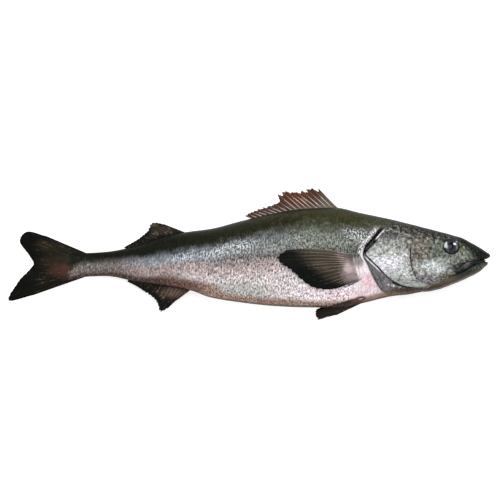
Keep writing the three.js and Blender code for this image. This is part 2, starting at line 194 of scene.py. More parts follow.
# %% Stations of the body and of the lower jaw
MEASURES = ("back", "belly", "half", "middle", "back_keen", "belly_keen")
BODY = [
    (-284, -5.4, -31.6, 2, 5.5, 1, 1), (-277, 1.6, -40.6, 3.4, 6, 1, 1), (-246, 1.6, -34.2, 8, 7.6, 1, 1),
    (-216, 3.2, -33.2, 11.5, 10.2, 1, 1), (-171, 11.7, -41.2, 17.5, 15.3, 1, 1),
    (-126, 27.2, -48.2, 24, 21.2, 1, 1), (-88, 33.8, -54.7, 29.5, 26.3, 0.98, 0.96),
    (-58, 37.7, -65.2, 34.5, 31, 0.96, 0.92),
    (-13, 49.2, -72.7, 41, 37.2, 0.95, 0.9), (39, 61.2, -78.2, 45.5, 41.5, 0.95, 0.88),
    (84, 68, -80.2, 47, 42.8, 0.95, 0.88), (129, 69.6, -80.4, 46, 42, 0.95, 0.9),
    (166, 61.9, -74.7, 44, 40.5, 0.92, 0.95), (219, 50.7, -62.7, 40.5, 38.8, 0.85, 1.1),
    (236, 46.4, -61.2, 38.8, 38, 0.8, 1.15), (264, 39.4, -55.7, 35, 37, 0.72, 1.15),
    (285, 33.8, -51.2, 31, 36.2, 0.66, 1), (300, 29.9, -44.2, 27.2, 35.6, 0.64, 0.85),
    (308, 27.8, -33.2, 25.2, 35.3, 0.64, 0.7), (318, 24.6, -24, 22.4, 34.8, 0.66, 0.7),
    (332, 17.7, -16, 17.8, 34.2, 0.75, 0.7), (347, 9.2, -10.2, 12, 33.6, 0.85, 0.8),
    (357, 2.5, -7.2, 6, 33.2, 1, 1), (361.6, -0.9, -4.4, 2, 33, 1, 1), (362, -2.7, -3.3, 0.4, 33, 1, 1),
]
JAW = [
    (246, -34, -55.2, 13, 37.4, 1, 0.8), (264, -32, -56.8, 16, 37, 1, 0.75),
    (285, -31, -53.1, 19.5, 36.2, 1, 0.7),
    (303, -30, -46.6, 20.5, 35.5, 0.7, 0.75), (318, -24.5, -40.6, 19, 34.8, 0.6, 0.8),
    (332, -18.4, -34.1, 15.6, 34.2, 0.6, 0.85), (346, -13.6, -26.6, 11, 33.6, 0.6, 0.9),
    (354, -11.4, -19.4, 6.8, 33.3, 0.8, 1), (358, -12, -16.1, 2.6, 33.1, 1, 1),
    (358.5, -13.4, -14, 0.4, 33.1, 1, 1),
]
SLAB_BLEND = 1.2                       # how softly the flank rounds off onto the slab


def body_of(stations):
    """One smooth curve along the fish for each measure."""
    table = np.array(stations, float)
    return {name: curve_through(table[:, [0, i + 1]]) for i, name in enumerate(MEASURES)}


trunk, jaw = body_of(BODY), body_of(JAW)
print("the trunk is", float(trunk["back"](84) - trunk["belly"](84)), "mm deep at its deepest")

# %% [markdown]
# ## The edges of the gill cover
# Behind the head the skin is made of plates that lie over each other like tiles. Each plate's rear
# edge is a curve: how far forward it lies at each depth, from 0 on the ridge of the back to 1 on the
# keel of the belly. Hoops of points that lean along these curves give crisp edges.

# %% Edges
SHOULDER_EDGE = [(0, 208), (0.16, 193.5), (0.27, 183.5), (0.385, 172.5), (0.46, 170.5), (0.56, 177),
                 (0.66, 182.5), (0.79, 190.5), (0.9, 199), (1, 212)]
GILL_COVER_EDGE = [(0, 222), (0.14, 207), (0.22, 198), (0.33, 188), (0.41, 178.5), (0.447, 174.8),
                   (0.5, 180.5), (0.56, 188), (0.62, 195.5), (0.71, 205), (0.78, 214), (0.825, 223),
                   (0.862, 234), (0.893, 247), (0.94, 261), (1, 276)]
CHEEK_EDGE = [(0, 252), (0.3, 242.5), (0.45, 241.5), (0.6, 243.5), (0.72, 248), (0.82, 256),
              (0.88, 266), (0.94, 284), (1, 298)]
FACE_FROM = 316                        # ahead of here the hoops stand upright again
TRUNK_TO = 150                         # behind here they stand upright too

shoulder, cover, cheek = (curve_through(e) for e in (SHOULDER_EDGE, GILL_COVER_EDGE, CHEEK_EDGE))


def slit_open(v):
    """Where the top of the gill slit gapes."""
    return ease(v, 0.1, 0.2) * (1 - ease(v, 0.4, 0.47))


def cover_shows(v):
    return ease(v, 0.1, 0.2) * (1 - ease(v, 0.93, 0.99))


def cheek_shows(v):
    return ease(v, 0.24, 0.36) * (1 - ease(v, 0.88, 0.97))


def membrane_shows(v):
    return ease(v, 0.45, 0.52) * (1 - ease(v, 0.95, 1))


print("the gill cover reaches back to x =", round(cover(np.linspace(0, 1, 101)).min(), 1), "mm")

# %% [markdown]
# ## Hoops of points
# The skin is a loft: hoop after hoop of points from the tail to the snout. The angle round a hoop
# gives the depth and the side, and the station curves give the rest. A lift stands a point off the
# flank along the section's own normal, and the slab flattens whatever would go below it.

# %% Hoops
COLUMNS = int(196 * FINE) // 4 * 4


def round_the_fish(columns):
    """The angle of each column, its depth from 0 at the back to 1 at the belly, and its side."""
    angle = np.arange(columns) / columns * 2 * np.pi
    return angle, (1 - np.cos(angle)) / 2, np.where(np.sin(angle) < 0, -1.0, 1.0)


def rest_on_slab(z, lowest):
    """Heights that go no lower than the lowest, and round off softly above it."""
    over = z - lowest
    soft = (over + SLAB_BLEND) ** 2 / (4 * SLAB_BLEND)
    return lowest + np.where(over > SLAB_BLEND, over, np.where(over < -SLAB_BLEND, 0, soft))


def hoops(part, place, lift, lowest=0.0):
    """Points in millimetres for arrays of places and lifts, one row for each hoop."""
    angle, v, side = round_the_fish(place.shape[1])
    back, belly, half, middle = (part[m](place) for m in MEASURES[:4])
    keen = mix(part["back_keen"](place), part["belly_keen"](place), ease(v, 0.25, 0.75))
    height = (back - belly) / 2
    thick = half * np.sqrt(np.clip(4 * v * (1 - v), 0, 1)) ** keen
    up, out = np.cos(angle) / height, np.abs(np.sin(angle)) / half
    length = np.hypot(up, out)
    y = (back + belly) / 2 + height * np.cos(angle) + lift * up / length
    z = middle + side * (thick + lift * out / length)
    return np.stack([place, y, rest_on_slab(z, lowest)], axis=-1)


def flank_level(x, y, side=1):
    """The height over the slab of the flank at x, y, and the depth v there."""
    back, belly = trunk["back"](x), trunk["belly"](x)
    v = np.clip((back - y) / (back - belly), 0, 1)
    keen = mix(trunk["back_keen"](x), trunk["belly_keen"](x), ease(v, 0.25, 0.75))
    return trunk["middle"](x) + side * trunk["half"](x) * np.sqrt(4 * v * (1 - v)) ** keen, v


print("each hoop has", COLUMNS, "points, and the flank is", round(flank_level(84, -6)[0], 1), "mm high")

# %% [markdown]
# ## From points to a piece
# A loft's points become quads, with a fan of triangles over each end. The mesh's volume says which
# way its faces look, so no face points inwards. Numbers that the finishes need, such as the depth
# down the flank, ride along as attributes.

# %% Meshes
def mesh_piece(name, points, faces, attributes=None, materials=()):
    """A smooth object at the origin, in metres, from points in millimetres."""
    points = np.asarray(points, float)
    mesh = bpy.data.meshes.new(name)
    mesh.from_pydata((points * MM).tolist(), [], faces)
    for key, values in (attributes or {}).items():
        values = np.asarray(values, np.float32)
        kind = "FLOAT_VECTOR" if values.ndim == 2 else "FLOAT"
        made = mesh.attributes.new(key, kind, "POINT")
        made.data.foreach_set("vector" if values.ndim == 2 else "value", values.ravel())
    mesh.polygons.foreach_set("use_smooth", [True] * len(mesh.polygons))
    for material in materials:
        mesh.materials.append(material)
    piece = bpy.data.objects.new(name, mesh)
    bpy.context.scene.collection.objects.link(piece)
    face_outwards(piece)
    return piece


def face_outwards(piece):
    work = bmesh.new()
    work.from_mesh(piece.data)
    bmesh.ops.recalc_face_normals(work, faces=work.faces)
    if work.calc_volume(signed=True) < 0:
        bmesh.ops.reverse_faces(work, faces=work.faces)
    work.to_mesh(piece.data)
    work.free()
    print(f"{piece.name}: {sum(len(p.vertices) - 2 for p in piece.data.polygons)} triangles")


def loft_faces(rows, columns):
    """Quads between the hoops, and a fan over each end round an added point."""
    faces = []
    for i in range(rows - 1):
        for j in range(columns):
            k = (j + 1) % columns
            faces.append((i * columns + j, i * columns + k, (i + 1) * columns + k, (i + 1) * columns + j))
    first, last = rows * columns, rows * columns + 1
    for j in range(columns):
        k = (j + 1) % columns
        faces.append((first, k, j))
        faces.append((last, (rows - 1) * columns + j, (rows - 1) * columns + k))
    return faces


def with_ends(points):
    """The points of a loft in one list, and a middle point for each end."""
    flat = points.reshape(-1, points.shape[-1])
    return np.vstack([flat, points[0].mean(axis=0), points[-1].mean(axis=0)])

# %% [markdown]
# ## Low relief
# Up close the flank isn't smooth. Thin muscle shows through the skin in faint chevrons, a fine
# groove (the lateral line) runs along it, the gill cover has ridges that fan out from its hinge, and
# the eye sits in a socket with a soft rim. All of it is lift in millimetres.

# %% Relief
EYE = {"x": 303, "y": 11, "socket": 12.7, "radius": 14.2, "depth": 7.5, "proud": 3.0}
EYE_FLATTENED = 1.14                   # the socket is this much wider than it is high
NOSTRIL = {"x": 324, "y": 8.5, "radius": 1.9}
COVER_HINGE = (234, 22)
LATERAL_LINE = (0.38, -0.00055)        # its depth at x = 0, and the change for each millimetre
CHEVRON = {"height": 0.12, "lean": 26, "width": 13}
LEFT_FIN_PRESS = {"x": 104, "y": -24, "half_length": 64, "half_width": 33, "height": 1.4}


def relief(x, y, v):
    """How far the living skin stands off the smooth loft."""
    on_trunk = 1 - ease(x, 135, 165)
    from_line = v - LATERAL_LINE[0] - LATERAL_LINE[1] * x
    chevron = np.sin(2 * np.pi * (x - CHEVRON["lean"] * np.abs(from_line)) / CHEVRON["width"])
    lift = CHEVRON["height"] * on_trunk * chevron * ease(v, 0.08, 0.2) * (1 - ease(v, 0.8, 0.95))
    groove = np.exp(-((from_line * 90) ** 2))
    lift -= 0.25 * groove * on_trunk
    angle = np.arctan2(COVER_HINGE[1] - y, COVER_HINGE[0] - x)
    reach = np.hypot(COVER_HINGE[1] - y, COVER_HINGE[0] - x)
    on_cover = ease(x - cover(v), 3, 9) * (1 - ease(x - cheek(v), -9, -2)) * cover_shows(v)
    lift += 0.35 * on_cover * np.sin(angle * 17) * ease(reach, 8, 26)
    rays_on_membrane = ease(x - shoulder(v), 1, 3) * ease(cover(v) - x, 1, 3) * membrane_shows(v)
    lift += 0.4 * rays_on_membrane * np.sin((x - shoulder(v)) * 1.5)
    from_eye = np.hypot(x - EYE["x"], (y - EYE["y"]) * EYE_FLATTENED)
    lift -= 5.2 * (1 - ease(from_eye, EYE["socket"] - 1.3, EYE["socket"] + 0.4))
    lift += 0.9 * np.exp(-(((from_eye - EYE["socket"] - 1.6) / 1.5) ** 2))
    from_nostril = np.hypot(x - NOSTRIL["x"], y - NOSTRIL["y"])
    lift -= 1.6 * (1 - ease(from_nostril, NOSTRIL["radius"] * 0.4, NOSTRIL["radius"]))
    lift += 0.5 * np.exp(-(((from_nostril - NOSTRIL["radius"] - 0.6) / 0.8) ** 2))
    bone = np.sin(x * 0.21 + 3 * v) * np.cos(v * 19 - x * 0.05)
    return lift + 0.25 * bone * ease(x, 240, 262) * (1 - ease(x, 330, 345))

# %% [markdown]
# ## The skin's rows
# Each entry is one hoop in a list from the tail to the snout: its place, its lift, how deep it lies
# in a crease (for the painted shade in the folds), and how many rows lead up to it. Under a lip the
# row runs forward beneath the plate and comes back on top of it, so the gill covers are real
# overhanging lips.

# %% Rows of the skin
SLIT_DEPTH = 7
COVER_LIFT = 2.8
CHEEK_LIFT = 1.8


def skin_rows():
    """Place, lift and crease for each column of each row."""
    _, v, _ = round_the_fish(COLUMNS)
    m, c, k, gap = membrane_shows(v), cover_shows(v), cheek_shows(v), slit_open(v)
    sh, co, ch = shoulder(v), cover(v), cheek(v)
    inner = ease(v, 0.1, 0.14) * (1 - ease(v, 0.26, 0.3))     # a pale skin that stands up inside the slit
    one, none = np.ones_like(v), np.zeros_like(v)
    marks = [
        (one * -284, none, none, 1),
        (one * TRUNK_TO, none, none, 216),
        (sh - 3.2, none, none, 13),
        (sh - 0.2, -0.5 * m - 0.6 * gap, 0.6 * m, 3),
        (sh + 1.5 * m + 0.9 * gap, -0.9 * m - 5 * gap, one * 0.9, 2),
        (sh - 0.3 * m + 1.5 * gap, 0.5 * m - 6.2 * gap, one * 0.8, 2),
        (sh - 0.35 * m + 2.1 * gap, 1.1 * m - SLIT_DEPTH * gap, gap, 2),
        (sh + 0.5 * m + 2.7 * gap, 1.3 * m - SLIT_DEPTH * gap, gap, 2),
        (mix(sh, co, 0.42), 0.8 * m - SLIT_DEPTH * gap, gap, 7),
        (mix(sh, co, 0.55), 0.7 * m + (5.2 * inner - SLIT_DEPTH) * gap, gap * (1 - inner), 4),
        (mix(sh, co, 0.8), 0.5 * m + (5.2 * inner - SLIT_DEPTH) * gap, gap * (1 - inner), 4),
        (co - 0.8, 0.2 * m - 6.6 * gap, mix(0.5, 1, gap), 3),
        (co + 2.2 * c, -0.8 * c - 6 * gap, one, 3),
        (co + 0.5 * c, 1.1 * c, 0.9 * c, 2),
        (co - 0.1, 1.9 * c, 0.35 * c, 2),
        (co + 0.5 * c, (COVER_LIFT - 0.3) * c, none, 2),
        (co + 3, COVER_LIFT * c, none, 4),
    ]
    for share in (0.3, 0.6, 0.86):
        marks.append((mix(co, ch, share), COVER_LIFT * (1 - share) * c, none, 10))
    marks += [
        (ch - 1.2, -0.3 * k, 0.4 * k, 4),
        (ch + 1.1 * k, -0.9 * k, k, 2),
        (ch + 0.2 * k, 0.5 * k, 0.8 * k, 2),
        (ch - 0.1, 1.1 * k, 0.2 * k, 2),
        (ch + 0.6, CHEEK_LIFT * k, none, 2),
    ]
    for share in (0.15, 0.3, 0.45, 0.6, 0.8, 1):
        marks.append((mix(ch, FACE_FROM, share), CHEEK_LIFT * (1 - share) ** 3 * k, none, 13))
    for x, rows in ((340, 24), (356, 20), (360, 6), (361.4, 3), (362, 2)):
        marks.append((one * x, none, none, rows))
    rows = [marks[0][:3]]
    for before, after in zip(marks, marks[1:]):
        steps = max(1, round(after[3] * FINE))
        for i in range(1, steps + 1):
            rows.append([mix(a, b, i / steps) for a, b in zip(before[:3], after[:3])])
    return [np.array([row[i] for row in rows]) for i in range(3)]


place, lift, crease = skin_rows()
_, v_round, side_round = round_the_fish(COLUMNS)
smooth_skin = hoops(trunk, place, lift)
lift = lift + relief(place, smooth_skin[..., 1], v_round)
press_x = (place - LEFT_FIN_PRESS["x"]) / LEFT_FIN_PRESS["half_length"]
press_y = (smooth_skin[..., 1] - LEFT_FIN_PRESS["y"]) / LEFT_FIN_PRESS["half_width"]
press = 1 - ease(np.hypot(press_x, press_y), 0.92, 1.1)
skin_points = hoops(trunk, place, lift, LEFT_FIN_PRESS["height"] * press * (side_round < 0))
print("the skin has", *place.shape, "points")

# %% [markdown]
# ## Numbers for the finish
# The colours follow the fish's own lines, so the shader wants to know where a point lies along the
# fish, how deep down the flank and how far round it, and how far ahead of each plate's edge. The
# boundaries between dark back, grey flank, rosy side, silver belly and brown keel shift along it.

# %% Attributes of the skin
BACK_ENDS = [(-290, 0.64), (-262, 0.5), (-238, 0.4), (-208, 0.38), (-178, 0.36), (-148, 0.41),
             (-118, 0.4), (-88, 0.33), (-58, 0.29), (-28, 0.24), (31, 0.225), (91, 0.21),
             (122, 0.225), (144, 0.265), (168, 0.2), (185, 0.165), (362, 0.1)]
FLANK_ENDS = [(-284, 0.66), (-238, 0.56), (-178, 0.55), (-118, 0.56), (-88, 0.5), (-58, 0.47),
              (-28, 0.45), (1, 0.45), (61, 0.46), (144, 0.52), (362, 0.52)]
ROSE_ENDS = [(-284, 0.8), (-178, 0.74), (-118, 0.68), (-58, 0.65), (1, 0.625), (61, 0.56),
             (144, 0.5), (362, 0.5)]
KEEL_STARTS = [(-284, 0.82), (-231, 0.8), (-193, 0.75), (-156, 0.77), (-126, 0.7), (-96, 0.74),
               (-66, 0.71), (-36, 0.84), (-6, 0.875), (24, 0.865), (84, 0.895), (114, 0.905),
               (144, 0.91), (190, 0.89), (219, 0.87), (300, 0.86), (362, 0.8)]


def along_the_hoop(points):
    """How far each point lies from the ridge of the back, round its own side, in millimetres."""
    half = points.shape[1] // 2
    steps = np.linalg.norm(np.diff(points[:, : half + 1], axis=1), axis=2)
    right = np.concatenate([np.zeros((len(points), 1)), np.cumsum(steps, axis=1)], axis=1)
    return np.concatenate([right, right[:, -2:0:-1]], axis=1)


def skin_numbers(points, v, crease):
    """The attributes of a loft, ends included."""
    x, v = points[..., 0], np.broadcast_to(v, points.shape[:2])
    bands = [v - curve_through(e)(x) for e in (BACK_ENDS, FLANK_ENDS, ROSE_ENDS)]
    keel = curve_through(KEEL_STARTS)(x)
    columns = {
        "place": np.stack([x, v, along_the_hoop(points)], axis=-1),
        "edges": np.stack([x - shoulder(v), x - cover(v), x - cheek(v)], axis=-1),
        "bands": np.stack(bands, axis=-1),
        "keel": ((v - keel) / (1 - keel))[..., None],
        "crease": crease[..., None],
    }
    return {key: np.squeeze(with_ends(values)) for key, values in columns.items()}


skin_attributes = skin_numbers(skin_points, v_round, crease)
print("each point of the skin carries", ", ".join(skin_attributes))

# %% [markdown]
# ## Colours
# Colours are read off the real skin, as 0 to 255 screen values, and turned into the linear light
# that shaders work in. A few dozen named colours are enough: the fish's pattern comes from where
# they meet and from the fine flecks of its scales.

# %% Named colours
def screen(red, green, blue):
    """A screen colour as linear light."""
    def linear(c):
        c /= 255
        return c / 12.92 if c <= 0.04045 else ((c + 0.055) / 1.055) ** 2.4
    return (linear(red), linear(green), linear(blue), 1.0)


BACK_BLACK = screen(18, 21, 12)
BACK_OLIVE = screen(34, 36, 18)
SHOULDER_OLIVE = screen(54, 54, 34)
BACK_BROWN = screen(76, 58, 40)
FLANK_GREY = screen(124, 128, 128)
FLANK_GREEN = screen(112, 118, 109)
# A paler, bluer grey for the flank towards the tail: partly the flank's own colour, partly painted sheen of
# the lamp.
FLANK_BLUE_AND_SHEEN = screen(143, 150, 158)
LINE_GREY = screen(88, 84, 78)
SIDE_ROSE = screen(160, 143, 140)
BELLY_SILVER = screen(212, 202, 203)
BELLY_GREEN = screen(166, 168, 162)
CHEST_WHITE = screen(238, 227, 233)
BLUSH = screen(222, 186, 192)
KEEL_BROWN = screen(140, 110, 90)
KEEL_RED = screen(98, 66, 58)
TAIL_GREY = screen(104, 95, 91)
TAIL_KEEL = screen(62, 46, 38)
SHADE = screen(20, 22, 20)
# Painted shade where the skin turns away at the edges: near black over the back, on its own dark colour, and
# brown along the belly.
RIDGE_DARK_AND_SHADE = screen(22, 24, 15)
KEEL_EDGE_SHADE = screen(34, 20, 12)
FIN_BROWN = screen(40, 36, 28)
FIN_RED = screen(96, 56, 48)
PALE = screen(232, 230, 234)
COVER_GREY = screen(126, 128, 122)
COVER_SILVER = screen(184, 186, 185)
COVER_WHITE = screen(222, 220, 228)
MEMBRANE_GREY = screen(108, 104, 108)
CHEEK_GREEN = screen(88, 95, 84)
CHEEK_TAN = screen(106, 100, 91)
CHEEK_PALE = screen(188, 194, 192)
LILAC = screen(124, 118, 123)
THROAT_BROWN = screen(88, 76, 58)
THROAT_DARK = screen(56, 42, 38)
CURL_RED = screen(92, 50, 52)
FIN_ROOT_SHADE = screen(66, 70, 62)
PAINTED_GLINT = screen(238, 244, 248)
FOREHEAD = screen(54, 53, 44)
SNOUT_BLACK = screen(14, 19, 15)
JAW_TEAL = screen(30, 40, 33)
LIP_GREY = screen(112, 122, 112)
JAW_PALE = screen(112, 112, 98)
NOSE_OLIVE = screen(64, 56, 26)
NOSE_GOLD = screen(196, 176, 120)
NOSE_GREEN = screen(112, 122, 106)
# The inside of the mouth, painted near black as painted shade, and its redder wrinkles.
MOUTH_SHADE = screen(18, 18, 16)
MOUTH_RED = screen(48, 38, 36)
IRIS_DARK = screen(20, 22, 26)
IRIS_SILVER = screen(104, 106, 114)
CRESCENT_WHITE = screen(222, 226, 230)
CRESCENT_GREY = screen(150, 150, 160)
PUPIL = screen(8, 11, 9)
EYE_RIM = screen(16, 16, 20)
# Painted reflections of the lamps in the eye.
PAINTED_LAMP_WHITE = screen(250, 252, 255)
PAINTED_LAMP_GREY = screen(206, 208, 214)
print("mid grey on the screen is", round(screen(128, 128, 128)[0], 2), "in linear light")


class Paint(Board):
    """A material's board, with what a painter needs."""

    def __init__(self, name):
        self.material = bpy.data.materials.new(name)
        self.material.use_nodes = True
        super().__init__(self.material.node_tree)
        self.shader = self.tree.nodes["Principled BSDF"]

    def place_mm(self):
        """Where a point of the finished piece lies, in millimetres."""
        return self.node("ShaderNodeTexCoord", out="Object") * (1 / MM)

    def attribute(self, name, out="Vector"):
        return self.node("ShaderNodeAttribute", {"attribute_name": name}, out=out)

    def uneven(self, where, scale=1.0, detail=3.0, roughness=0.6):
        """Cloudy noise that swings about 0."""
        sockets = {"Vector": where, "Scale": scale, "Detail": detail, "Roughness": roughness}
        return self.node("ShaderNodeTexNoise", {}, sockets) - 0.5

    def spot(self, x, y, centre, radii, soft=0.5):
        """A soft oval patch in the plane of the flank, 1 inside and 0 outside."""
        dx, dy = (x - centre[0]) / radii[0], (y - centre[1]) / radii[1]
        return self.step((dx * dx + dy * dy) ** 0.5, 1 + soft, 1 - soft)

    def band(self, value, low, high, soft):
        """1 between low and high, with soft edges."""
        return self.step(value, low - soft, low + soft) * self.step(value, high + soft, high - soft)

    def bump(self, height, distance, strength=1.0):
        sockets = {"Height": height, "Distance": distance, "Strength": strength}
        return self.node("ShaderNodeBump", {}, sockets)

    def finish(self, **sockets):
        """Feeds the shader: a wire where a value changes over the skin, a number where it doesn't."""
        for key, value in sockets.items():
            self.feed(self.shader.inputs[key.replace("_", " ")], value)
        return self.material


class Coats:
    """Coats of colour that a painter lays one over another."""

    def __init__(self, painter, first):
        self.painter, self.top = painter, first

    def lay(self, colour, share=1.0, how="MIX"):
        """Lays a colour, or other coats, over these by a share from 0 to 1."""
        over = colour.top if isinstance(colour, Coats) else colour
        settings = {"data_type": "RGBA", "blend_type": how, "clamp_factor": True}
        self.top = self.painter.node("ShaderNodeMix", settings, {0: share, 6: self.top, 7: over}, out=2)
        return self

    def shade(self, amount):
        """Makes the coats lighter where the amount is over 1, and darker where it is under."""
        return self.lay(amount, 1.0, "MULTIPLY")

    def patches(self, x, y, patches):
        """Lays soft oval patches: the colour, centre, radii, softness and share of each."""
        for colour, centre, radii, soft, share in patches:
            self.lay(colour, self.painter.spot(x, y, centre, radii, soft) * share)
        return self

# %% [markdown]
# ## The finish of the skin
# Sablefish skin is olive black above and silver below, with a rosy side, and it is covered in scales
# smaller than a lentil whose upright edges catch the light in short flecks. Here the flecks are painted
# into the colour, and a few of them are painted glints. It could be one picture wrapped round the
# fish, but then the seams would show. So one painter knows where each point lies on the fish and how
# uneven the skin is there, and each zone is a short function of its own.

# %% The skin's painter
class SkinPaint(Paint):
    """A painter who knows where each point lies on the fish, and how uneven the skin is there."""

    def __init__(self, name):
        super().__init__(name)
        self.along, self.v, self.arc = along, v, arc = self.parts(self.attribute("place"))
        self.from_shoulder, self.from_cover, self.from_cheek = self.parts(self.attribute("edges"))
        self.below_back, self.below_flank, self.below_rose = self.parts(self.attribute("bands"))
        self.below_keel, self.crease = self.attribute("keel", "Fac"), self.attribute("crease", "Fac")
        self.x, self.y, z = self.parts(self.place_mm())

        # Unevenness of four sizes: clouds, blotches, the flecks of the scales, and grain. The hidden
        # side has flecks of its own, so they don't meet their mirror image on the ridge.
        hidden = self.step(z, 50, 42) * 8
        skin_map = self.vector(along, arc, 0.0)
        self.clouds = self.uneven(skin_map, 0.025, 2.0, 0.5)
        self.blotches = self.uneven(skin_map, 0.1, 4.0)
        self.flecks = self.uneven(self.vector(along * 0.42, arc * 0.22, hidden), 1.0, 2.0)
        self.grain = self.uneven(self.vector(along * 0.75, arc * 0.5, 3.0), 1.0, 2.0)

        # Strokes down the flank, coarse flecks on the head, and streaks across and along the membrane.
        self.strokes = self.uneven(self.vector(along * 0.3, arc * 0.07, 7.0), 1.0, 2.0, 0.55)
        slanting = self.vector(along * 0.22 + arc * 0.08, arc * 0.2, hidden + 9)
        self.coarse = self.uneven(slanting, 1.0, 3.0, 0.7)
        self.streaks = self.uneven(self.vector(self.from_cover * 0.55, arc * 0.08, 1.0))
        self.lengthways = self.uneven(self.vector(along * 0.08, arc * 0.5, 5.0))

        # Zone edges wander by this share of the depth, and patches by millimetres.
        self.wander = self.clouds * 0.12 + self.blotches * 0.12 + self.flecks * 0.08
        self.xw, self.yw = self.x + self.blotches * 14, self.y + self.clouds * 12

        # Where the zones are, from 0 to 1.
        self.behind_slit = self.step(self.from_shoulder, 0.6, -0.4)
        self.on_cover = self.step(self.from_cover, -0.3, 0.5)
        self.on_chest = self.step(along, 142, 160) * self.step(v, 0.47, 0.54)
        self.on_snout = self.step(along + self.y * 0.9 + self.blotches * 10, 325, 341)

# %% [markdown]
# ## The zones of the skin
# The trunk is four coats from the back down, whose edges wander. The head has a coat for the gill
# cover's plate, the grey membrane under it, the cheek, the forehead, the throat and the black snout.
# Patches are soft ovals in the plane of the flank, in millimetres.

# %% Trunk
def trunk_coats(p):
    """The back, the flank, the rosy side and the silver belly."""
    along, blotches, clouds = p.along, p.blotches, p.clouds
    tail = p.step(along, -135, -215)
    back = Coats(p, BACK_BLACK).lay(BACK_OLIVE, p.step(along, -170, 40))
    back.lay(SHOULDER_OLIVE, p.step(along, 40, 130))
    back.patches(p.xw, p.yw, [(BACK_BROWN, (66, 57), (80, 11), 0.7, p.step(blotches, -0.06, 0.14) * 0.35)])
    # Towards the tail the flank turns paler and bluer, partly painted sheen.
    flank = Coats(p, FLANK_GREY).lay(FLANK_BLUE_AND_SHEEN, p.step(along, -20, -70))
    flank.lay(FLANK_GREEN, p.step(along, 20, 90)).lay(TAIL_GREY, tail)
    rose = Coats(p, SIDE_ROSE).lay(TAIL_GREY, tail)
    rose.lay(FLANK_GREY, p.step(p.below_flank + blotches, 0.1, -0.02) * 0.6)
    silver = Coats(p, BELLY_SILVER).lay(BELLY_GREEN, p.step(blotches + clouds, 0.02, 0.2) * 0.5)
    silver.lay(BLUSH, p.step(blotches - clouds, 0.05, 0.25) * 0.3)
    silver.patches(p.xw, p.yw, [(BELLY_GREEN, (-18, -56), (52, 15), 0.5, 0.8)])
    silver.lay(CHEST_WHITE, p.step(along, 40, 130))
    silver.lay(SIDE_ROSE, p.step(along, -60, -130)).lay(TAIL_GREY, tail)

    soft = 0.09 + p.step(along, -40, -100) * 0.06 + p.step(along, 0, 60) * 0.04
    trunk_skin = back.lay(flank, p.step(p.below_back + p.wander, -soft, soft))
    trunk_skin.lay(rose, p.step(p.below_flank + p.wander * 1.4, -0.08, 0.09))
    return trunk_skin.lay(silver, p.step(p.below_rose + p.wander * 1.4, -0.1, 0.14))


def lay_flank_lines(p, coats):
    """The dark seam between the muscles and the fine lateral line above it."""
    seam = p.band(p.below_flank + p.wander * 0.7, -0.035, 0.03, 0.03) * p.step(p.along, -110, -40)
    coats.lay(LINE_GREY, seam * 0.6)
    from_line = p.v - LATERAL_LINE[0] - p.along * LATERAL_LINE[1] + p.flecks * 0.02
    coats.lay(LINE_GREY, p.band(from_line, -0.006, 0.006, 0.008) * p.step(p.along, -200, 60) * 0.5)
    coats.patches(p.xw, p.yw, [(LINE_GREY, (132, 8), (34, 6), 0.6, 0.55),
                               (KEEL_RED, (-92, -47), (42, 6), 0.6, 0.35)])


def lay_chest(p, coats):
    """The chest between the pectoral fin and the gill slit, painted shade at the top of the fin's root, and
    the pale shoulder band above it.
    """
    coats.lay(CHEST_WHITE, p.on_chest)
    coats.patches(p.xw, p.yw, [(BLUSH, (181, -40), (15, 13), 0.7, 0.8),
                               (BLUSH, (150, -62), (44, 9), 0.7, 0.5)])
    # A tan patch by the fin's root, with painted shade at the root's top, behind the rim of the slit.
    coats.patches(p.xw, p.y, [(CHEEK_TAN, (163, -11), (9, 9), 0.6, 0.8),
                              (FIN_ROOT_SHADE, (158, 4), (14, 9), 0.6, 0.9)])
    pale = Coats(p, SIDE_ROSE).lay(PALE, p.step(p.flecks + p.grain, -0.1, 0.2))
    broken = Coats(p, SHADE).lay(pale, p.step(p.streaks, -0.16, -0.02))
    band = p.band(p.from_shoulder, -8.5, -1.2, 1.6) * p.step(p.v, 0.1, 0.17) * p.step(p.v, 0.5, 0.4)
    coats.lay(broken, band * 0.85)


def keel_coats(p):
    """Brown along the belly, redder and darker towards the tail."""
    keel = Coats(p, KEEL_BROWN).lay(KEEL_RED, p.step(p.along, -50, -90))
    keel.lay(TAIL_KEEL, p.step(p.along, -95, -150))
    rosy = p.step(p.blotches + p.clouds, -0.02, 0.12) * p.step(p.along, -100, -40)
    return keel.lay(SIDE_ROSE, rosy * 0.35)

# %% Head
def slit_and_membrane(p):
    """Painted shade in the open slit, pale skin standing inside it, and the ribbed membrane that closes it
    further down.
    """
    slit, across = Coats(p, SHADE), p.from_shoulder / (p.from_shoulder - p.from_cover + 0.01)
    slit.lay(PALE, p.band(across, 0.5, 0.82, 0.07) * p.band(p.v, 0.13, 0.27, 0.03))
    membrane = Coats(p, MEMBRANE_GREY).lay(SHADE, p.step(p.streaks, 0.0, 0.2) * 0.8)
    membrane.lay(COVER_SILVER, p.step(p.streaks, -0.05, -0.2) * 0.6)
    streaky = p.step(p.lengthways, -0.1, 0.06) * 0.9
    membrane.patches(p.x, p.y + p.x * 0.12, [(COVER_WHITE, (230, -21), (20, 2.4), 0.6, streaky)])
    membrane.lay(PALE, p.band(p.from_cover, -5.6, -3.4, 0.7) * p.band(p.v, 0.49, 0.65, 0.04))
    return slit.lay(membrane, p.step(p.v, 0.42, 0.46))


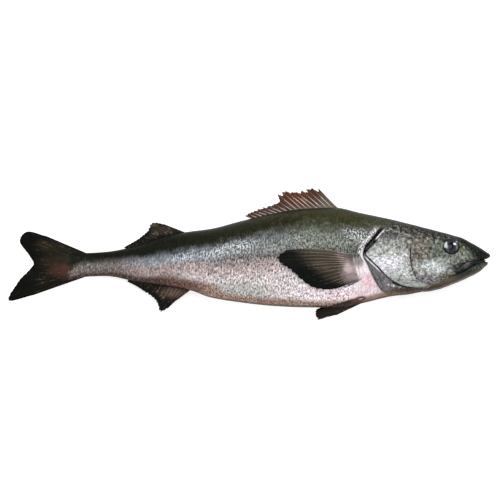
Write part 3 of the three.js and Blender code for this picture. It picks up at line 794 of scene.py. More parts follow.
def plate_coats(p):
    """The plate of the gill cover, darker above and nearly white at its lower rear corner."""
    plate = Coats(p, COVER_GREY).lay(COVER_SILVER, p.step(p.v + p.wander, 0.29, 0.5))
    plate.patches(p.xw, p.yw, [
        (COVER_WHITE, (207, -14), (23, 12), 0.6, 1.0),
        (BELLY_GREEN, (201, 5), (19, 8), 0.6, 0.85),
        (LILAC, (214, -34), (13, 7), 0.6, p.step(p.blotches, -0.04, 0.1) * 0.5),
        (COVER_GREY, (237, -14), (10, 6), 0.6, 0.4),
        (COVER_GREY, (236, -42), (26, 6), 0.6, 0.7),
    ])
    return plate.patches(p.xw, p.y, [(SHADE, (209, 28), (20, 4.5), 0.6, 0.65)])


def face_coats(p):
    """The cheek: tan behind, green under the eye and pale above the jaw."""
    face = Coats(p, CHEEK_TAN).lay(CHEEK_GREEN, p.step(p.xw, 260, 284))
    return face.patches(p.xw, p.yw, [
        (CHEEK_TAN, (250, 12), (16, 22), 0.6, 0.8),
        (CHEEK_PALE, (281, -20), (31, 10), 0.6, 1.0),
        (LILAC, (264, -36), (26, 8), 0.5, 0.75),
        (COVER_GREY, (306, -14), (16, 10), 0.6, 0.8),
        (THROAT_BROWN, (300, -34), (14, 8), 0.6, 0.7),
    ])


def head_coats(p):
    head = slit_and_membrane(p).lay(plate_coats(p), p.on_cover)
    low = p.step(p.v, 0.3, 0.4)            # the cheek's edge is crisp here, and fades above
    on_face = p.step(p.from_cheek, -0.3, 0.6) * low + p.step(p.xw, 226, 256) * (1 - low)
    head.lay(face_coats(p), on_face * p.on_cover)
    head.lay(FOREHEAD, p.step(p.v + p.wander, 0.24, 0.09))
    head.lay(THROAT_BROWN, p.step(p.below_keel + p.wander * 5, -0.1, 0.6))
    head.patches(p.xw, p.y, [(THROAT_DARK, (247, -54), (26, 4.5), 0.4, 0.85)])
    ribbed = p.band(p.along, 206, 292, 12) * p.band(p.v, 0.84, 0.97, 0.05)
    head.shade(1 + p.lengthways * 2.4 * ribbed)
    head.patches(p.xw, p.y, [
        (NOSE_OLIVE, (319, 13), (4, 6), 0.6, 0.8),
        (BLUSH, (318, -1), (5, 6), 0.6, p.step(p.flecks, 0.0, 0.12) * 0.4),
        (NOSE_GREEN, (325, 0), (9, 8), 0.6, 0.7),
    ])
    head.lay(SNOUT_BLACK, p.on_snout)
    return head.patches(p.xw, p.y, [(SNOUT_BLACK, (327, -20), (27, 9), 0.4, 0.85)])

# %% [markdown]
# ## Flecks, painted glints and painted shade along the edges
# Scales too small to see one by one still break up the colour. Short strokes lighten and darken the
# skin, finer on the trunk and coarser on the head, and a few are painted as glints of the lamp. The
# painted shade in the folds and along the edges comes last, so that nothing lies over it.

# %% Flecks and painted glints
def lay_flecks(p, coats):
    """Short upright strokes that make the skin lighter and darker, coarser on the head; the lightest are
    partly the scales' own silver and partly painted glints.
    """
    light = (p.flecks + p.grain * 0.6) * (1 - p.on_cover * 0.55) + p.coarse * p.on_cover * 1.1
    light = p.step(light, -0.3, 0.3) - 0.5
    calm = p.most(p.on_chest * p.behind_slit * 0.7, (1 - p.behind_slit) * (1 - p.on_cover) * 0.6)
    smooth = p.spot(p.xw, p.y, (204, -14), (32, 28), 0.5) * p.step(p.from_cheek, -3, -12) * 0.3
    calm = p.most(p.most(calm, p.on_cover * smooth), p.on_snout * 0.75)
    contrast = 0.5 + 0.85 * p.most(p.step(p.below_back, -0.06, 0.12), p.on_cover) + p.clouds * 1.2
    contrast = contrast * (0.68 + 0.32 * p.step(p.along, -130, -20)) * (1 - calm)
    coats.shade(1 + light * contrast * 1.35)
    # The lightest flecks are drawn towards pale: partly the silver of the scales, partly painted glints.
    silvery = p.most(p.step(p.below_back, -0.02, 0.14), p.on_cover * (1 - p.on_snout))
    coats.lay(PALE, p.most(light, 0.0) * contrast * silvery * 0.3)
    coats.shade(1.02 + p.blotches * (0.9 + p.on_cover * 0.5) + p.strokes)

    # Faint rays that fan out from the hinge of the gill cover.
    angle = p.sums("ARCTAN2", p.y - COVER_HINGE[1], COVER_HINGE[0] - p.x)
    fan = p.uneven(p.vector(angle * 9.0, (p.along + p.arc) * 0.03, 2.0))
    coats.shade(1 + fan * 1.9 * p.on_cover * p.step(p.from_cheek, 4, -4))


def lay_marks_and_painted_glints(p, coats):
    """The pale rim of the slit, a golden fleck by the eye, and painted glints where scales would catch the
    lamp.
    """
    coats.lay(PALE, p.band(p.from_shoulder, -3.8, -0.8, 0.8) * p.band(p.v, 0.4, 0.62, 0.04) * 0.9)
    coats.patches(p.x, p.y, [(NOSE_GOLD, (321, 9), (2.2, 3), 0.6, p.step(p.flecks, -0.1, 0.1) * 0.8)])
    under_back = p.band(p.along, -72, 2, 16) * p.band(p.below_back, 0.01, 0.14, 0.05)
    by_shoulder = p.band(p.along, 142, 176, 10) * p.band(p.v, 0.19, 0.31, 0.04) * 0.9
    by_tail = p.band(p.along, -116, -84, 12) * p.band(p.below_flank, -0.16, -0.03, 0.04) * 0.9
    where = p.most(p.most(under_back, by_shoulder), by_tail)
    # Painted glints: a few flecks turned nearly white where the lamp would shine on the scales.
    coats.lay(PAINTED_GLINT, p.step(p.flecks + p.grain, 0.0, 0.14) * where * 0.9)

# %% Ridges, fin roots and folds, with their painted shade
def lay_ridge_shade(p, coats):
    """The back's own black with painted shade at its edge, over the head too, and painted brown shade along
    the belly's edge.
    """
    on_head = p.step(p.along, 215, 255)
    coats.lay(RIDGE_DARK_AND_SHADE, p.step(p.v, 0.055 + on_head * 0.07, 0.0) * (0.7 + on_head * 0.2))
    coats.lay(KEEL_EDGE_SHADE, p.step(p.v, 0.965, 0.99) * p.step(p.along, 300, 260) * 0.85)


def lay_fin_roots(p, coats):
    """The curled root of the pelvic fin, a painted shadow under the pectoral fin's lower edge, and the root
    of the tail.
    """
    coats.patches(p.x, p.y - p.x * 0.2, [
        (CURL_RED, (166, -101), (9, 4.6), 0.3, p.step(p.v, 1.0, 0.98) * 0.95),
        (BLUSH, (167.5, -100.6), (3, 0.9), 0.6, p.step(p.v, 0.985, 0.97) * 0.7),
    ])
    # A thin painted shadow on the skin under the lower edge of the pectoral fin.
    coats.patches(p.x, p.y - p.x * 0.5, [(THROAT_DARK, (156, -121.5), (12, 1.6), 0.5, 0.85)])
    coats.lay(FIN_BROWN, p.step(p.along + p.blotches * 30 + p.flecks * 16, -264, -276))
    coats.patches(p.xw, p.yw, [(FIN_RED, (-279, -25), (9, 9), 0.6, p.step(p.along, -262, -272) * 0.5)])


def lay_fold_shade(p, coats):
    """Painted shade in the folds and along the plates' overhanging edges, thicker where an edge runs level.
    """
    coats.lay(SHADE, p.step(p.crease, 0.15, 0.8) * p.step(p.v, 0.1, 0.14))
    level = 1 + 5 * p.step(p.v, 0.78, 0.87)
    cover_edge_shade = p.band((p.from_cover + p.flecks) / level, -2.3, -0.1, 0.5)
    cover_edge_shade = cover_edge_shade * p.band(p.v, 0.45, 0.91, 0.02)
    slit_edge_shade = p.band(p.from_shoulder + p.flecks, -0.2, 1.6, 0.5) * p.band(p.v, 0.44, 0.9, 0.03)
    cheek_parts = p.most(p.band(p.v, 0.34, 0.55, 0.02), p.band(p.v, 0.6, 0.92, 0.04) * 0.75)
    cheek_edge_shade = p.band(p.from_cheek + p.flecks, -0.9, 0.9, 0.4) * cheek_parts
    coats.lay(SHADE, p.most(p.most(cover_edge_shade, slit_edge_shade * 0.9), cheek_edge_shade) * 0.92)

# %% Skin
def skin_finish():
    p = SkinPaint("wet skin")
    coats = trunk_coats(p)
    lay_flank_lines(p, coats)
    lay_chest(p, coats)
    below_ridge = p.most(p.step(p.v, 0.1, 0.14), p.step(p.from_cover, -6, 4))
    coats.lay(head_coats(p), p.step(p.from_shoulder, -0.4, 0.6) * below_ridge)
    coats.lay(keel_coats(p), p.step(p.below_keel + p.wander * 3, 0.05, 0.6) * p.behind_slit)
    for lay in (lay_flecks, lay_marks_and_painted_glints, lay_ridge_shade, lay_fin_roots, lay_fold_shade):
        lay(p, coats)

    cells = {"Vector": p.vector(p.along / 2.1, p.arc / 2.9, 0.0), "Scale": 1.0}
    scales = p.node("ShaderNodeTexVoronoi", {"feature": "F1"}, cells)
    height = scales * -0.7 + p.flecks * 1.2 + p.grain * 0.8
    wet = p.step(p.v, 0.08, 0.22) * p.step(p.v, 0.7, 0.45) * p.step(p.grain + p.flecks, -0.1, 0.15)
    return p.finish(Base_Color=coats.top, Roughness=0.4 + p.blotches * 0.25, Specular_IOR_Level=0.05,
                    Coat_Weight=wet * 0.3, Coat_Roughness=0.22, Normal=p.bump(height, 0.3 * MM, 0.8))


SKIN = skin_finish()
print("the finish of the skin has", len(SKIN.node_tree.nodes), "nodes")
skin = mesh_piece("skin", with_ends(skin_points), loft_faces(*place.shape), skin_attributes, [SKIN])

# %% [markdown]
# ## The jaws
# The lower jaw is a bone of its own that reaches almost as far as the snout, and it shuts against a
# strap of bone on each side of the upper jaw. It is a second loft sunk in the throat. A tongue fills
# the middle of the mouth, where the jaws stand a little apart, and a lining fills the gap ahead of
# it; both are painted near black with redder wrinkles, as painted shade inside the mouth.

# %% Lower jaw
def jaw_points():
    rows, columns = int(90 * FINE), int(96 * FINE) // 4 * 4
    ends = JAW[0][0], JAW[-1][0]
    reach = np.sin(np.linspace(0, np.pi / 2, rows))
    x = np.repeat(mix(*ends, reach)[:, None], columns, axis=1)
    _, v, _ = round_the_fish(columns)
    groove = np.exp(-(((v - 0.52) * 16) ** 2)) * ease(x, 290, 305)
    folds = np.sin(x * 0.5 + 12 * v) * np.sin(v * 23)
    return hoops(jaw, x, 0.12 * folds - 0.7 * groove), v


def jaw_finish():
    p = Paint("wet lower jaw")
    x, y, z = p.parts(p.place_mm())
    _, v, _ = p.parts(p.attribute("place"))
    stretched = p.vector(x * 0.6, y, z * 0.8)
    blotches, grain = p.uneven(stretched, 0.22, 4.0), p.uneven(stretched, 1.3)
    underneath = p.step(v, 0.55, 0.75)
    coats = Coats(p, JAW_TEAL).lay(SNOUT_BLACK, p.step(v, 0.25, 0.05))
    coats.lay(THROAT_BROWN, p.step(v + blotches * 0.2, 0.5, 0.7) * 0.7)
    mottles = p.step(p.uneven(p.vector(x, y * 1.4, z), 0.45, 4.0, 0.7), -0.04, 0.1)
    coats.patches(x, y, [(LIP_GREY, (342, -16), (18, 8), 0.5, mottles * 0.85)])
    coats.lay(THROAT_BROWN, p.step(x + blotches * 14, 318, 300))
    coats.lay(THROAT_DARK, underneath * 0.65)
    coats.lay(SHADE, p.step(blotches + grain * 0.8, 0.02, 0.2) * (1 - underneath) * 0.7)
    coats.lay(JAW_PALE, p.step(grain - blotches * 0.4, 0.1, 0.24) * (1 - underneath) * 0.5)
    ribs = p.uneven(p.vector(x * 0.06, y * 0.45, z * 0.45))
    coats.shade(1 + ribs * 2.2 * underneath)
    return p.finish(Base_Color=coats.top, Roughness=0.36 + blotches * 0.2, Specular_IOR_Level=0.15,
                    Normal=p.bump(grain, 0.25 * MM, 0.6))


jaw_loft, jaw_v = jaw_points()
jaw_depth = np.broadcast_to(jaw_v, jaw_loft.shape[:2])
jaw_place = np.stack([jaw_loft[..., 0], jaw_depth, along_the_hoop(jaw_loft)], axis=-1)
lower_jaw = mesh_piece("lower_jaw", with_ends(jaw_loft), loft_faces(*jaw_loft.shape[:2]),
                       {"place": with_ends(jaw_place)}, [jaw_finish()])

# %% Ovals: a ball stretched along three arrows, for the tongue and the straps of the upper jaw
def oval(name, centre, along, out, radii, materials, waves=0.0):
    """A ball with its poles on the along arrow; out is the arrow that faces away from the fish."""
    rings, columns = int(40 * FINE), int(40 * FINE)
    along = np.array(along, float) / np.linalg.norm(along)
    out = np.array(out, float)
    out = out - along * (out @ along)
    out /= np.linalg.norm(out)
    across = np.cross(out, along)
    polar = np.linspace(0, np.pi, rings + 1)[1:-1, None]
    turn = np.arange(columns)[None] / columns * 2 * np.pi
    swell = 1 + waves * np.sin(polar * 9 + turn * 2)
    local = np.stack([np.cos(polar) * radii[0] + 0 * turn, np.sin(polar) * np.cos(turn) * radii[1] * swell,
                      np.sin(polar) * np.sin(turn) * radii[2] * swell], axis=-1)
    ball = np.array(centre) + local @ np.stack([along, across, out])
    return mesh_piece(name, with_ends(ball), loft_faces(rings - 1, columns), {}, materials)


STRAP = {"front": (347, -5.5), "back": (301, -31), "width": 9, "thick": 8, "sunk": 2}


def strap_finish():
    p = Paint("wet upper jaw")
    x, y, z = p.parts(p.place_mm())
    streaks = p.uneven(p.vector(x * 0.2 + y * 0.2, y - x * 0.6, z), 0.8)
    mottles = p.step(p.uneven(p.vector(x, y, z), 0.6), -0.08, 0.12)
    coats = Coats(p, JAW_TEAL).lay(SNOUT_BLACK, p.step(x + y * 0.5, 318, 332))
    coats.lay(SHADE, p.step(streaks, 0.0, 0.2))
    coats.lay(JAW_PALE, p.step(streaks, -0.06, -0.2) * 0.6)
    # Lilac mottles, and a lighter spot at the strap's rear end that is a painted highlight.
    coats.patches(x, y, [(LILAC, (325, -14), (6, 6), 0.6, mottles * 0.8),
                         (COVER_GREY, (306, -29.5), (3.6, 2), 0.5, 0.75)])
    return p.finish(Base_Color=coats.top, Roughness=0.32 + streaks * 0.2, Specular_IOR_Level=0.15,
                    Normal=p.bump(streaks, 0.25 * MM, 0.6))


def strap(side, name, materials):
    ends = []
    for px, py in (STRAP["front"], STRAP["back"]):
        ends.append(np.array([px, py, flank_level(px, py, side)[0] - side * STRAP["sunk"]]))
    radii = (np.linalg.norm(ends[0] - ends[1]) / 2, STRAP["width"] / 2, STRAP["thick"] / 2)
    return oval(name, (ends[0] + ends[1]) / 2, ends[0] - ends[1], (0, 0, side), radii, materials, 0.03)


strap_skin = strap_finish()
straps = [strap(1, "upper_jaw_right", [strap_skin]), strap(-1, "upper_jaw_left", [strap_skin])]

# %% Tongue and lining
TONGUE = {"centre": (300, -18, float(trunk["middle"](300))), "radii": (46, 9, 10), "tilt": 22}
LINING = {"centre": (334.5, -15.3, float(trunk["middle"](334))), "radii": (21.5, 8, 3.4), "tilt": 15.5385}


def tongue_finish():
    p = Paint("tongue")
    wrinkles = p.uneven(p.place_mm(), 0.5, 4.0)
    # The inside of the mouth is painted near black as painted shade, with redder wrinkles.
    coats = Coats(p, MOUTH_SHADE).lay(MOUTH_RED, p.step(wrinkles, -0.05, 0.25))
    return p.finish(Base_Color=coats.top, Roughness=0.4 + wrinkles * 0.2, Normal=p.bump(wrinkles, 0.5 * MM))


def in_the_mouth(name, size, materials):
    """A long ball on the fish's middle plane, with its front end tilted up by some degrees."""
    tilt = math.radians(size["tilt"])
    along, out = (math.cos(tilt), math.sin(tilt), 0), (-math.sin(tilt), math.cos(tilt), 0)
    return oval(name, size["centre"], along, out, size["radii"], materials)


mouth_skin = tongue_finish()
tongue = in_the_mouth("tongue", TONGUE, [mouth_skin])
lining = in_the_mouth("mouth_lining", LINING, [mouth_skin])
print("the tongue reaches", round(max(point[0] for point in tongue.bound_box) / MM, 1), "mm forward")

# %% [markdown]
# ## The eyes
# A sablefish's eye is a flattened ball behind a clear skin: a dark pupil a little ahead of the
# middle, a silvery ring, and a darker rim. The ball is rings of points round its gaze, and each
# point carries how far it lies from the gaze, so the finish is drawn as rings that turn with it.

# %% Eyeballs
def eyeball(side, name, materials):
    x, y, proud = EYE["x"], EYE["y"], EYE["proud"]

    def at(px, py):
        return np.array([px, py, float(flank_level(px, py, side)[0])])

    forward = at(x + 4, y) - at(x - 4, y)
    out = np.cross(forward, at(x, y + 4) - at(x, y - 4)) * side
    out /= np.linalg.norm(out)
    forward /= np.linalg.norm(forward)
    up = np.cross(out, forward)
    rings, columns = int(72 * FINE), int(96 * FINE)
    polar = np.linspace(0, np.pi, rings + 1)[1:-1, None]
    turn = np.arange(columns)[None] / columns * 2 * np.pi
    flat = np.sin(polar) * EYE["radius"]
    pupil_swell = 0.5 * np.exp(-((flat / 4.6) ** 4))
    local = np.stack([flat * np.cos(turn), flat * np.sin(turn), np.cos(polar) * EYE["depth"]
                      + pupil_swell * (polar < np.pi / 2) + 0 * turn], axis=-1)
    centre = at(x, y) + out * (proud - EYE["depth"])
    ball = centre + local @ np.stack([forward, up, out])
    gaze = np.stack([local[..., 0], local[..., 1] * side, 0 * local[..., 0]], axis=-1)
    gaze[polar[:, 0] > np.pi / 2] *= 3
    faces = loft_faces(rings - 1, columns)
    return mesh_piece(name, with_ends(ball), faces, {"gaze": with_ends(gaze)}, materials)


def eye_finish():
    """The iris with a bright crescent on each side, the pupil, the rim, and two painted reflections of the
    lamps.
    """
    p = Paint("wet eye")
    a, b, _ = p.parts(p.attribute("gaze"))
    rim_radius = (a * a + b * b * 1.3) ** 0.5
    pupil_radius = ((a + 0.3) * (a + 0.3) + (b - 1.5) * (b - 1.5) * 0.9) ** 0.5
    streaks = p.uneven(p.vector(a, b, 0.0), 0.45, 4.0, 0.7)
    coats = Coats(p, IRIS_DARK).lay(IRIS_SILVER, p.step(streaks, 0.0, 0.13))
    left = p.step(a, -5.6, -7.8) * p.step(b + a * 0.5, -8.0, -4.5) * p.step(rim_radius, 12.4, 11.2)
    coats.lay(CRESCENT_WHITE, left * p.step(streaks, 0.16, -0.02))
    broken = p.step(streaks, 0.1, -0.06) * 0.8
    coats.patches(a, b, [(CRESCENT_GREY, (8.0, 0.4), (1.6, 5.0), 0.5, broken)])
    coats.lay(PUPIL, p.step(pupil_radius + streaks * 3.5, 5.4, 4.2))
    coats.lay(EYE_RIM, p.step(rim_radius + streaks * 4, 10.6, 12.2))
    coats.patches(a, b, [(PAINTED_LAMP_WHITE, (4.9, 3.6), (2.2, 1.8), 0.4, 1.0)])
    coats.patches(a, b - a * 0.3, [(PAINTED_LAMP_GREY, (9.4, 5.4), (2.2, 1.1), 0.5, 0.8)])
    return p.finish(Base_Color=coats.top, Roughness=0.14 + p.step(rim_radius, 10.5, 12.0) * 0.3,
                    Specular_IOR_Level=0.1, Coat_Weight=0.15, Coat_Roughness=0.04)


eye_skin = eye_finish()
eyes = {
    "eye_right": eyeball(1, "eyeball_right", [eye_skin]),
    "eye_left": eyeball(-1, "eyeball_left", [eye_skin]),
}

# %% [markdown]
# ## One tree for every fin
# All eight fins are built alike: rays that run from a root line to a line of tips, with a thin web
# between them that stops a little short of each tip. That is a rule, so Geometry Nodes do it. The
# object that carries the tree holds only the two lines, as 2 runs of points, and the tree reads them
# by number. A fin that lies on the body finds the body's surface with a ray cast down on it.

# %% The fin tree
LINE_POINTS = 2001
FIN_INPUTS = [
    ("Lines", "Geometry", None), ("Rays", "Int", 15), ("Rows", "Int", 36), ("Branches", "Int", 2),
    ("Ray radius", "Float", 0.8 * MM), ("Tip share", "Float", 0.35), ("Fork", "Float", 0.25),
    ("Web thickness", "Float", 0.8 * MM), ("Notch", "Float", 0.02), ("Ragged", "Float", 0.0),
    ("Bow", "Float", 0.0), ("Ripple", "Float", 0.6 * MM), ("Waves", "Float", 3.0),
    ("Side", "Float", 0.0), ("Clearance", "Float", 2 * MM), ("Lift", "Float", 3 * MM),
    ("Floor", "Float", 0.0), ("Body", "Object", None), ("Seed", "Int", 1),
    ("Ray finish", "Material", None), ("Web finish", "Material", None),
]
WEB_COLUMNS = 6                        # columns of web between two rays
ROOT_SUNK = 2.5 * MM                   # how deep the root of a lying fin sits in the skin
CAST_FROM = 0.4                        # metres from the slab at which a ray starts towards the body


def fin_tree():
    tree = bpy.data.node_groups.new("rays and web", "GeometryNodeTree")
    for name, kind, value in FIN_INPUTS:
        socket = tree.interface.new_socket(name, in_out="INPUT", socket_type="NodeSocket" + kind)
        if kind in ("Int", "Float"):
            socket.default_value = value
    tree.interface.new_socket("Fin", in_out="OUTPUT", socket_type="NodeSocketGeometry")
    g = Board(tree)
    given = g.node("NodeGroupInput")
    size = {name: given.other(name) for name, _, _ in FIN_INPUTS}

    def line_point(u, first):
        """The place on one of the two lines at a share u of its length."""
        index = g.sums("ROUND", u * (LINE_POINTS - 1.0) + float(first))
        sockets = {"Geometry": size["Lines"], "Value": g.node("GeometryNodeInputPosition"), "Index": index}
        return g.node("GeometryNodeSampleIndex", {"data_type": "FLOAT_VECTOR", "domain": "POINT"}, sockets)

    def chance(low, high, number, extra):
        sockets = {2: low, 3: high, "ID": g.sums("ROUND", number), "Seed": size["Seed"] + extra}
        return g.node("FunctionNodeRandomValue", {"data_type": "FLOAT"}, sockets, out=1)

    def spot(u, t, reach):
        """A place on the fin's middle surface, from the root at t = 0 to the tips at t = 1."""
        root, tip = line_point(u, 0), line_point(u, LINE_POINTS)
        ray = tip - root
        across = g.sums("CROSS_PRODUCT", ray, (0.0, 0.0, 1.0))
        across = g.node("ShaderNodeVectorMath", {"operation": "NORMALIZE"}, {0: across})
        t = t * reach
        bow = size["Bow"] * (1 - u) ** 1.5 * 4 * t * (1 - t)
        x, y, z = g.parts(root + ray * t + across * bow)
        waves = g.sums("SINE", u * size["Waves"] * math.pi + t * 2.2 + size["Seed"])
        z = z + waves * size["Ripple"] * t
        # The height of the body under or over the fin, where it has a side to lie on.
        space = {"transform_space": "ORIGINAL"}
        body = g.node("GeometryNodeObjectInfo", space, {"Object": size["Body"]}, "Geometry")
        start, down = g.vector(x, y, size["Side"] * CAST_FROM), g.vector(0.0, 0.0, -size["Side"])
        cast = {"Target Geometry": body, "Source Position": start, "Ray Direction": down, "Ray Length": 1.0}
        hit = g.node("GeometryNodeRaycast", {"data_type": "FLOAT"}, cast)
        _, _, level = g.parts(hit.other("Hit Position"))
        rise = g.step(t, 0.0, 0.22)
        stand = (size["Clearance"] + size["Lift"] * t) * rise - ROOT_SUNK * (1 - rise)
        level = g.most(level + size["Side"] * stand, size["Floor"]) + waves * size["Ripple"] * t
        lies = hit * g.sums("ABSOLUTE", size["Side"])
        return g.vector(x, y, z + (level - z) * lies)

    def stored(mesh, name, value):
        sockets = {"Geometry": mesh, "Name": name, "Value": value}
        return g.node("GeometryNodeStoreNamedAttribute", {"data_type": "FLOAT", "domain": "POINT"}, sockets)

    def named(name):
        return g.node("GeometryNodeInputNamedAttribute", {"data_type": "FLOAT"}, {"Name": name})

    def face(turn):
        """One face of the web, thinning to nothing at its edges so that the two faces close."""
        gaps = size["Rays"] - 1
        counts = {"Vertices X": gaps * WEB_COLUMNS + 1, "Vertices Y": size["Rows"]}
        grid = g.node("GeometryNodeMeshGrid", {}, {"Size X": 1.0, "Size Y": 1.0, **counts})
        gx, gy, _ = g.parts(g.node("GeometryNodeInputPosition"))
        grid = stored(stored(grid, "u", gx + 0.5), "t", gy + 0.5)
        u, t = named("u"), named("t")
        in_gap = g.sums("FRACT", u * gaps + 0.0001)
        gap = g.sums("FLOOR", u * gaps + 0.0001)
        belly = 4 * in_gap * (1 - in_gap)
        torn = size["Ragged"] * chance(0.0, 1.0, gap, 7) * belly
        torn = torn + size["Ragged"] * 0.5 * chance(-1.0, 1.0, u * gaps * WEB_COLUMNS, 13)
        reach = 1 - size["Notch"] * belly - torn
        thin = (1 - t**8) * g.least(1.0, t * 20)
        thin = thin * g.least(1.0, u * gaps * 2) * g.least(1.0, (1 - u) * gaps * 2)
        half = size["Web thickness"] * (1 - t * 0.6) * thin * (turn / 2)
        place = spot(u, t, reach) + g.vector(0.0, 0.0, half)
        return g.node("GeometryNodeSetPosition", {}, {"Geometry": grid, "Position": place})

    join = g.node("GeometryNodeJoinGeometry")
    for turn in (1.0, -1.0):
        g.feed(join.socket.node.inputs[0], face(turn))
    web = g.node("GeometryNodeMergeByDistance", {}, {"Geometry": join, "Distance": 1e-6})
    web = g.node("GeometryNodeSetMaterial", {}, {"Geometry": web, "Material": size["Web finish"]})

    # The rays: a straight line for each, numbered along the root, then laid on the fin and given a tube.
    line = g.node("GeometryNodeCurvePrimitiveLine", {}, {"Start": (0.0, 0.0, 0.0), "End": (0.0, 1.0, 0.0)})
    line = g.node("GeometryNodeResampleCurve", {"mode": "COUNT"}, {"Curve": line, "Count": size["Rows"] + 4})
    every = {"Count": size["Rays"] * size["Branches"], "Offset": (1.0, 0.0, 0.0)}
    starts = g.node("GeometryNodeMeshLine", {"mode": "OFFSET", "count_mode": "TOTAL"}, every)
    copies = g.node("GeometryNodeInstanceOnPoints", {}, {"Points": starts, "Instance": line})
    curves = g.node("GeometryNodeRealizeInstances", {}, {"Geometry": copies})
    number, t, _ = g.parts(g.node("GeometryNodeInputPosition"))
    curves = stored(stored(curves, "number", number), "t", t)
    number, t = named("number"), named("t")
    ray = g.sums("FLOOR", number / size["Branches"] + 0.001)
    branch = (number - ray * size["Branches"]) * 2 - (size["Branches"] - 1)
    spread = size["Fork"] * (0.15 + 0.85 * g.step(t, 0.35, 1.05)) * branch
    u = g.least(1.0, g.most(0.0, (ray + spread) / (size["Rays"] - 1)))
    reach = 1 + size["Ragged"] * 0.6 * chance(-1.0, 0.6, ray, 29)
    curves = stored(curves, "u", u)
    laid = g.node("GeometryNodeSetPosition", {}, {"Geometry": curves, "Position": spot(u, t, reach)})
    circle = {"Resolution": 7, "Radius": 1.0}
    profile = g.node("GeometryNodeCurvePrimitiveCircle", {"mode": "RADIUS"}, circle)
    thick = size["Ray radius"] * (1 - t * (1 - size["Tip share"])) * (1 - g.step(t, 0.3, 0.9) * 0.25)
    tube = {"Curve": laid, "Profile Curve": profile, "Scale": thick, "Fill Caps": True}
    tubes = g.node("GeometryNodeCurveToMesh", {}, tube)
    tubes = g.node("GeometryNodeSetMaterial", {}, {"Geometry": tubes, "Material": size["Ray finish"]})

    both = g.node("GeometryNodeJoinGeometry")
    for part in (web, tubes):
        g.feed(both.socket.node.inputs[0], part)
    smooth = g.node("GeometryNodeSetShadeSmooth", {}, {"Geometry": both})
    whole = g.node("GeometryNodeRealizeInstances", {}, {"Geometry": smooth})
    g.feed(tree.nodes.new("NodeGroupOutput").inputs[0], whole)
    return tree


FIN_TREE = fin_tree()
print("the fin tree has", len(FIN_TREE.nodes), "nodes")

# %% [markdown]
# ## Growing a fin
# A fin starts as its two lines of points. The tree is set and evaluated once, its mesh is kept, and
# the modifier comes off, so what is left is a plain mesh. A line is a smooth curve through a few
# named points, or for a fin on a ridge it follows the ridge with rays of given lengths and rakes.

# %% Lines
def smooth_line(points):
    """Evenly numbered places on a curve that passes through the points, with no loops at close ones."""
    p = np.array(points, float)
    p = np.vstack([2 * p[0] - p[1], p, 2 * p[-1] - p[-2]])
    share = np.linspace(0, len(p) - 3, LINE_POINTS)
    i = np.minimum(share.astype(int), len(p) - 4)
    t = (share - i)[:, None]
    a, b, c, d = p[i], p[i + 1], p[i + 2], p[i + 3]
    d0, d1, d2 = (np.linalg.norm(q - r, axis=1, keepdims=True) ** 0.5 for q, r in ((b, a), (c, b), (d, c)))
    start = ((b - a) / d0 - (c - a) / (d0 + d1) + (c - b) / d1) * d1
    end = ((c - b) / d1 - (d - b) / (d1 + d2) + (d - c) / d2) * d1
    return ((2 * t**3 - 3 * t**2 + 1) * b + (t**3 - 2 * t**2 + t) * start
            + (3 * t**2 - 2 * t**3) * c + (t**3 - t**2) * end)


FIN_DROOP = 0.0063                     # share of its height that a ridge fin loses in 1 mm of ray


def ridge_lines(fin, side):
    """Root and tips of a fin on the ridge of the back (side 1) or the keel of the belly (side -1)."""
    u = np.linspace(0, 1, LINE_POINTS)
    x = mix(fin["from"], fin["to"], u)
    ridge = (trunk["back"] if side > 0 else trunk["belly"])(x)
    angle = np.radians(curve_through(fin["rake"])(u))
    lines = []
    for out in (np.full_like(u, -fin["sink"]), curve_through(fin["length"])(u)):
        level = trunk["middle"](x) * (1 - FIN_DROOP * np.maximum(0, out))
        x_there, y_there = x - out * np.cos(angle), ridge + side * out * np.sin(angle)
        lines.append(np.stack([x_there, y_there, level], axis=-1))
    return lines


def grow_fin(name, lines, **values):
    """Runs the fin tree on the two lines and keeps the mesh that it makes."""
    piece = bpy.data.objects.new(name, bpy.data.meshes.new(name + "_lines"))
    piece.data.from_pydata((np.vstack(lines) * MM).tolist(), [], [])
    bpy.context.scene.collection.objects.link(piece)
    modifier = piece.modifiers.new("rays and web", "NODES")
    modifier.node_group = FIN_TREE
    sockets = {i.name: i.identifier for i in FIN_TREE.interface.items_tree if i.in_out == "INPUT"}
    for key, value in values.items():
        modifier[sockets[key.replace("_", " ")]] = value
    bpy.context.view_layer.update()
    grown = piece.evaluated_get(bpy.context.evaluated_depsgraph_get())
    mesh, old = bpy.data.meshes.new_from_object(grown), piece.data
    piece.modifiers.clear()
    piece.data = mesh
    mesh.name = name
    bpy.data.meshes.remove(old)
    face_outwards(piece)
    return piece

# %% [markdown]
# ## The finish of the fins
# Fin webs are thin wet skin, nearly black at the back fins and brownish at the spiny one, with a
# paler root. The rays catch the light. Both share one painter that knows how far along the ray a
# point lies, and each fin names its own root, middle and tip colours.

